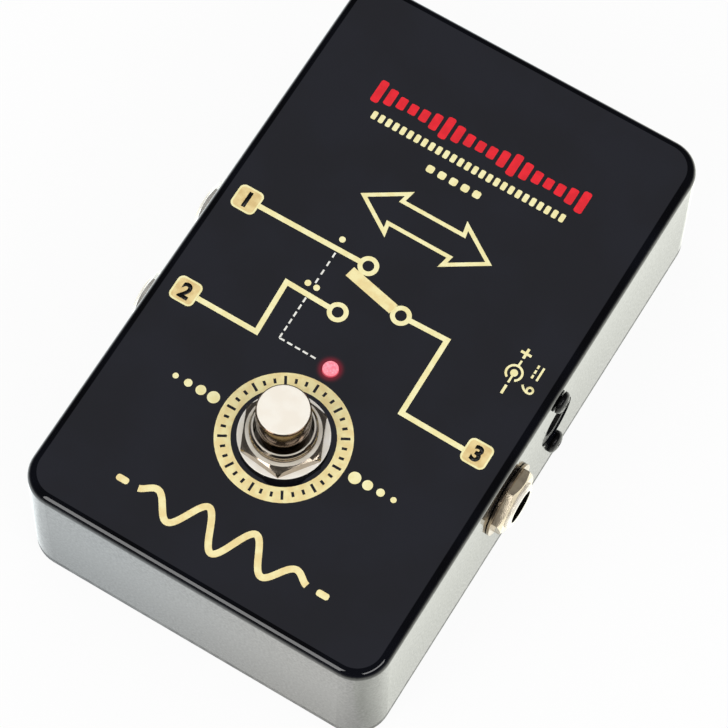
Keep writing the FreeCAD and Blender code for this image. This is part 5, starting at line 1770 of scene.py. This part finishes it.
@dataclass
class PowerJack:
    """Power jack in the right wall with its two dome-headed screws."""

    finishes: Finishes
    recess_width: float = 0.5 * MM
    recess_length: float = 2.3 * MM
    recess_depth: float = 0.9 * MM

    def build(self) -> None:
        """Dress the CAD nodes and cut the driver recesses."""
        for node, slot in (("dc_jack_housing", Slot.PLASTIC), ("dc_jack_pin", Slot.NICKEL),
                           ("dc_jack_lugs", Slot.TINNED), ("dc_jack_nuts", Slot.ZINC)):
            paint_node(node, self.finishes.material(slot))
        recess = Recess(self.recess_width, self.recess_length, self.recess_depth, Vector((1, 0, 0)))
        recess.cut("dc_jack_screws", "dc_jack_screws_recessed", self.finishes.material(Slot.SCREW),
                   Slot.SCREW)


@dataclass
class Wiring:
    """Hook-up wires inside the case."""

    finishes: Finishes
    colours: dict[str, Slot] = field(default_factory=lambda: {
        "wire_a": Slot.YELLOW, "wire_b": Slot.BLUE, "wire_c": Slot.WHITE, "wire_ground": Slot.BLACK,
        "wire_dc_plus": Slot.RED, "wire_dc_minus": Slot.BLACK})

    def build(self) -> None:
        """Give each wire its insulation."""
        for node, slot in self.colours.items():
            paint_node(node, self.finishes.material(slot))


# Studio


@dataclass(frozen=True)
class PhotoCamera:
    """Camera at the photograph's viewing angle; angles are degrees."""

    azimuth: float = 28.899
    elevation: float = 67.047
    roll: float = 2.492
    distance: float = 631.357 * MM
    target: Point = (4.079 * MM, -8.205 * MM)
    lens: float = 178.59
    sensor: float = 36.0
    clip: Point = (0.05, 20.0)

    def build(self, level: float) -> None:
        """Place it.

        Args:
            level: height of the face that the target lies on.
        """
        turn, rise, roll = (math.radians(angle) for angle in (self.azimuth, self.elevation, self.roll))
        back = Vector((math.sin(turn) * math.cos(rise), -math.cos(turn) * math.cos(rise), math.sin(rise)))
        right = Vector((math.cos(turn), math.sin(turn), 0.0))
        up = back.cross(right)
        across = math.cos(roll) * right + math.sin(roll) * up
        upward = math.cos(roll) * up - math.sin(roll) * right
        data = bpy.data.cameras.new("photo_camera")
        data.lens = self.lens
        data.sensor_width = self.sensor
        data.clip_start, data.clip_end = self.clip
        camera = bpy.data.objects.new("photo_camera", data)
        bpy.context.scene.collection.objects.link(camera)
        pose = Matrix((across, upward, back)).transposed().to_4x4()
        pose.translation = Vector((*self.target, level)) + back * self.distance
        camera.matrix_world = pose
        bpy.context.scene.camera = camera


@dataclass(frozen=True)
class Softbox:
    """Rectangular lamp that faces the box from a direction, its width level."""

    name: str
    way: Place
    distance: float
    width: float
    height: float
    power: float

    def build(self, aim: Vector) -> None:
        """Hang it.

        Args:
            aim: the point that it faces.
        """
        back = Vector(self.way).normalized()
        across = Vector((0, 0, 1)).cross(back).normalized()
        data = bpy.data.lights.new(self.name, "AREA")
        data.shape = "RECTANGLE"
        data.size, data.size_y = self.width, self.height
        data.energy = self.power
        lamp = bpy.data.objects.new(self.name, data)
        bpy.context.scene.collection.objects.link(lamp)
        pose = Matrix((across, back.cross(across), back)).transposed().to_4x4()
        pose.translation = aim + back * self.distance
        lamp.matrix_world = pose
        lamp.visible_camera = False


@dataclass(frozen=True)
class Studio:
    """Pale table that fades away from the box, two soft lamps and a dim panel in a dark room.

    Pairs of distances bound the smooth steps of what a gloss sees of the table: away from the box,
    to its right, behind it and along its front. The glare is its brightness before and past the step
    to the right, and the contact is how close to the box a painted shadow dims it.
    """

    floor_side: float = 6.0
    floor_patch: float = 60 * MM
    floor_colour: Colour = Colour(225, 225, 225)
    floor_shade: Colour = Colour(228, 228, 228)
    floor_lift: float = 0.93
    left_tint: Colour = Colour(248, 254, 255)
    front_tint: Colour = Colour(255, 255, 250)
    right_tint: Colour = Colour(253, 255, 246)
    table: Point = (45 * MM, 180 * MM)
    glare: Point = (1.83, 1.72)
    aside: Point = (34 * MM, 38 * MM)
    # Close to the box, the table that a gloss sees is dimmed: a painted shadow.
    contact: float = 8 * MM
    painted_shadow_share: float = 0.78
    behind: Point = (10 * MM, 60 * MM)
    behind_share: float = 1.05
    along: Point = (-30 * MM, 25 * MM)
    distant: float = 0.22
    horizon: Point = (-0.02, 0.26)
    room: float = 0.02
    panel: float = 0.54
    panel_tint: Colour = Colour(234, 236, 255)
    panel_way: Place = (-0.188, 0.341, 0.921)
    panel_edge: Point = (14.0, 9.0)
    fill: float = 0.76
    aim: Place = (0.0, 0.0, 20 * MM)
    lamps: tuple[Softbox, ...] = (
        Softbox("front_softbox", (-0.19, -0.78, 0.6), 0.9, 0.33, 0.52, 2.5),
        Softbox("side_softbox", (0.73, -0.24, 0.64), 0.9, 0.72, 0.22, 2.5),
    )

    def build(self) -> None:
        """Set up floor, lamps, surround and colour management."""
        self.floor()
        self.surround()
        for lamp in self.lamps:
            lamp.build(Vector(self.aim))
        bpy.context.scene.view_settings.view_transform = "Standard"

    def glossed(self, graph: ShaderGraph) -> bpy.types.NodeSocket:
        """How bright a gloss sees the table: dimmer to its right and far away, and dimmed close to the box
        by a painted shadow.

        Args:
            graph: the floor's nodes.
        Returns:
            The brightness, 1 for white.
        """
        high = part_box("case_shell")[1]
        reach = 0.0
        for axis in (Axis.X, Axis.Y):
            away = graph.math("SUBTRACT", graph.math("ABSOLUTE", graph.part_of(axis)), high[axis.value])
            reach = graph.math("MAXIMUM", reach, away)
        shares = (graph.ramp(reach, *self.table, 1.0, self.distant),
                  graph.ramp(reach, 0.0, self.contact, self.painted_shadow_share, 1.0))
        glare = graph.ramp(graph.part_of(Axis.X), *self.aside, *self.glare)
        behind = graph.ramp(graph.part_of(Axis.Y), *self.behind, 1.0, self.behind_share)
        shown = graph.math("MULTIPLY", glare, behind)
        return graph.math("MULTIPLY", shown, graph.math("MULTIPLY", *shares))

    def tint(self, graph: ShaderGraph) -> bpy.types.NodeSocket:
        """Colour that a gloss sees the table in, from the left along the front and to the right.

        Args:
            graph: the floor's nodes.
        Returns:
            The colour.
        """
        across = graph.part_of(Axis.X)
        front = graph.mix(graph.ramp(across, *self.along), self.left_tint.light(), self.front_tint.light())
        return graph.mix(graph.ramp(across, *self.aside), front, self.right_tint.light())

    def floor(self) -> None:
        """Pale floor that keeps the box's shadow and is open from below."""
        graph = ShaderGraph(bpy.data.materials.new("floor_pale"))
        tone = graph.mix(graph.ramp(graph.noise(self.floor_patch), *GLOSS_BAND), self.floor_colour.light(),
                         self.floor_shade.light())
        matt = graph.add("ShaderNodeBsdfDiffuse", {"Color": tone})
        path = graph.add("ShaderNodeLightPath")
        gloss = path.outputs["Is Glossy Ray"]
        colour = graph.mix(gloss, WHITE_LIGHT, self.tint(graph))
        strength = graph.math("ADD", graph.math("SUBTRACT", 1.0, gloss),
                              graph.math("MULTIPLY", gloss, self.glossed(graph)))
        light = graph.add("ShaderNodeEmission", {"Color": colour, "Strength": strength})
        lift = graph.math("MULTIPLY", path.outputs["Is Camera Ray"], self.floor_lift)
        clear_path = path.outputs["Is Transmission Ray"]
        share = graph.math("MAXIMUM", lift, graph.math("MAXIMUM", gloss, clear_path))
        lifted = graph.add("ShaderNodeMixShader", {0: share, 1: matt.outputs[0], 2: light.outputs[0]})
        back = graph.add("ShaderNodeNewGeometry").outputs["Backfacing"]
        clear = graph.add("ShaderNodeBsdfTransparent")
        surface = graph.add("ShaderNodeMixShader", {0: back, 1: lifted.outputs[0], 2: clear.outputs[0]})
        mesh = bpy.data.meshes.new("floor")
        half = self.floor_side / 2
        mesh.from_pydata([(-half, -half, 0), (half, -half, 0), (half, half, 0), (-half, half, 0)], [],
                         [(0, 1, 2, 3)])
        mesh.materials.append(graph.close(surface))
        object_of("floor", mesh)

    def surround(self) -> None:
        """White to the camera, a dim panel in a dark room to a gloss, an even fill to all else."""
        world = bpy.data.worlds.new("surround")
        bpy.context.scene.world = world
        graph = ShaderGraph(world)
        way = graph.add("ShaderNodeTexCoord").outputs["Generated"]
        height = graph.add("ShaderNodeSeparateXYZ", {0: way}).outputs["Z"]
        towards = graph.vectors("DOT_PRODUCT", way, Vector(self.panel_way).normalized(), gives="Value")
        edge = (math.cos(math.radians(angle)) for angle in self.panel_edge)
        panel = graph.ramp(towards, *edge, self.room, self.panel)
        path = graph.add("ShaderNodeLightPath")
        gloss = path.outputs["Is Glossy Ray"]
        above = graph.math("MAXIMUM", panel, graph.ramp(height, *self.horizon, self.distant, 0.0))
        flat = graph.math("MULTIPLY", graph.math("SUBTRACT", 1.0, gloss), self.fill)
        shown = graph.math("MAXIMUM", path.outputs["Is Camera Ray"], path.outputs["Is Transmission Ray"])
        lit = graph.math("ADD", graph.math("MULTIPLY", gloss, above), flat)
        strength = graph.math("MAXIMUM", shown, lit)
        colour = graph.mix(gloss, WHITE_LIGHT, self.panel_tint.light())
        graph.close(graph.add("ShaderNodeBackground", {"Color": colour, "Strength": strength}), "World")


def main() -> None:
    """Build every sub-assembly in order, then the studio."""
    logging.basicConfig(level=logging.INFO, format="%(name)s: %(message)s")
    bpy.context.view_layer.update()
    finishes = Finishes()
    Enclosure(finishes).build()
    PanelPrint(finishes).build()
    FootSwitch(finishes).build()
    Indicator(finishes).build()
    for letter, side in (("a", -1), ("b", -1), ("c", 1)):
        SignalJack(finishes, letter, side).build()
    PowerJack(finishes).build()
    Wiring(finishes).build()
    PhotoCamera().build(finishes.top)
    Studio().build()


if __name__ == "__main__":
    main()
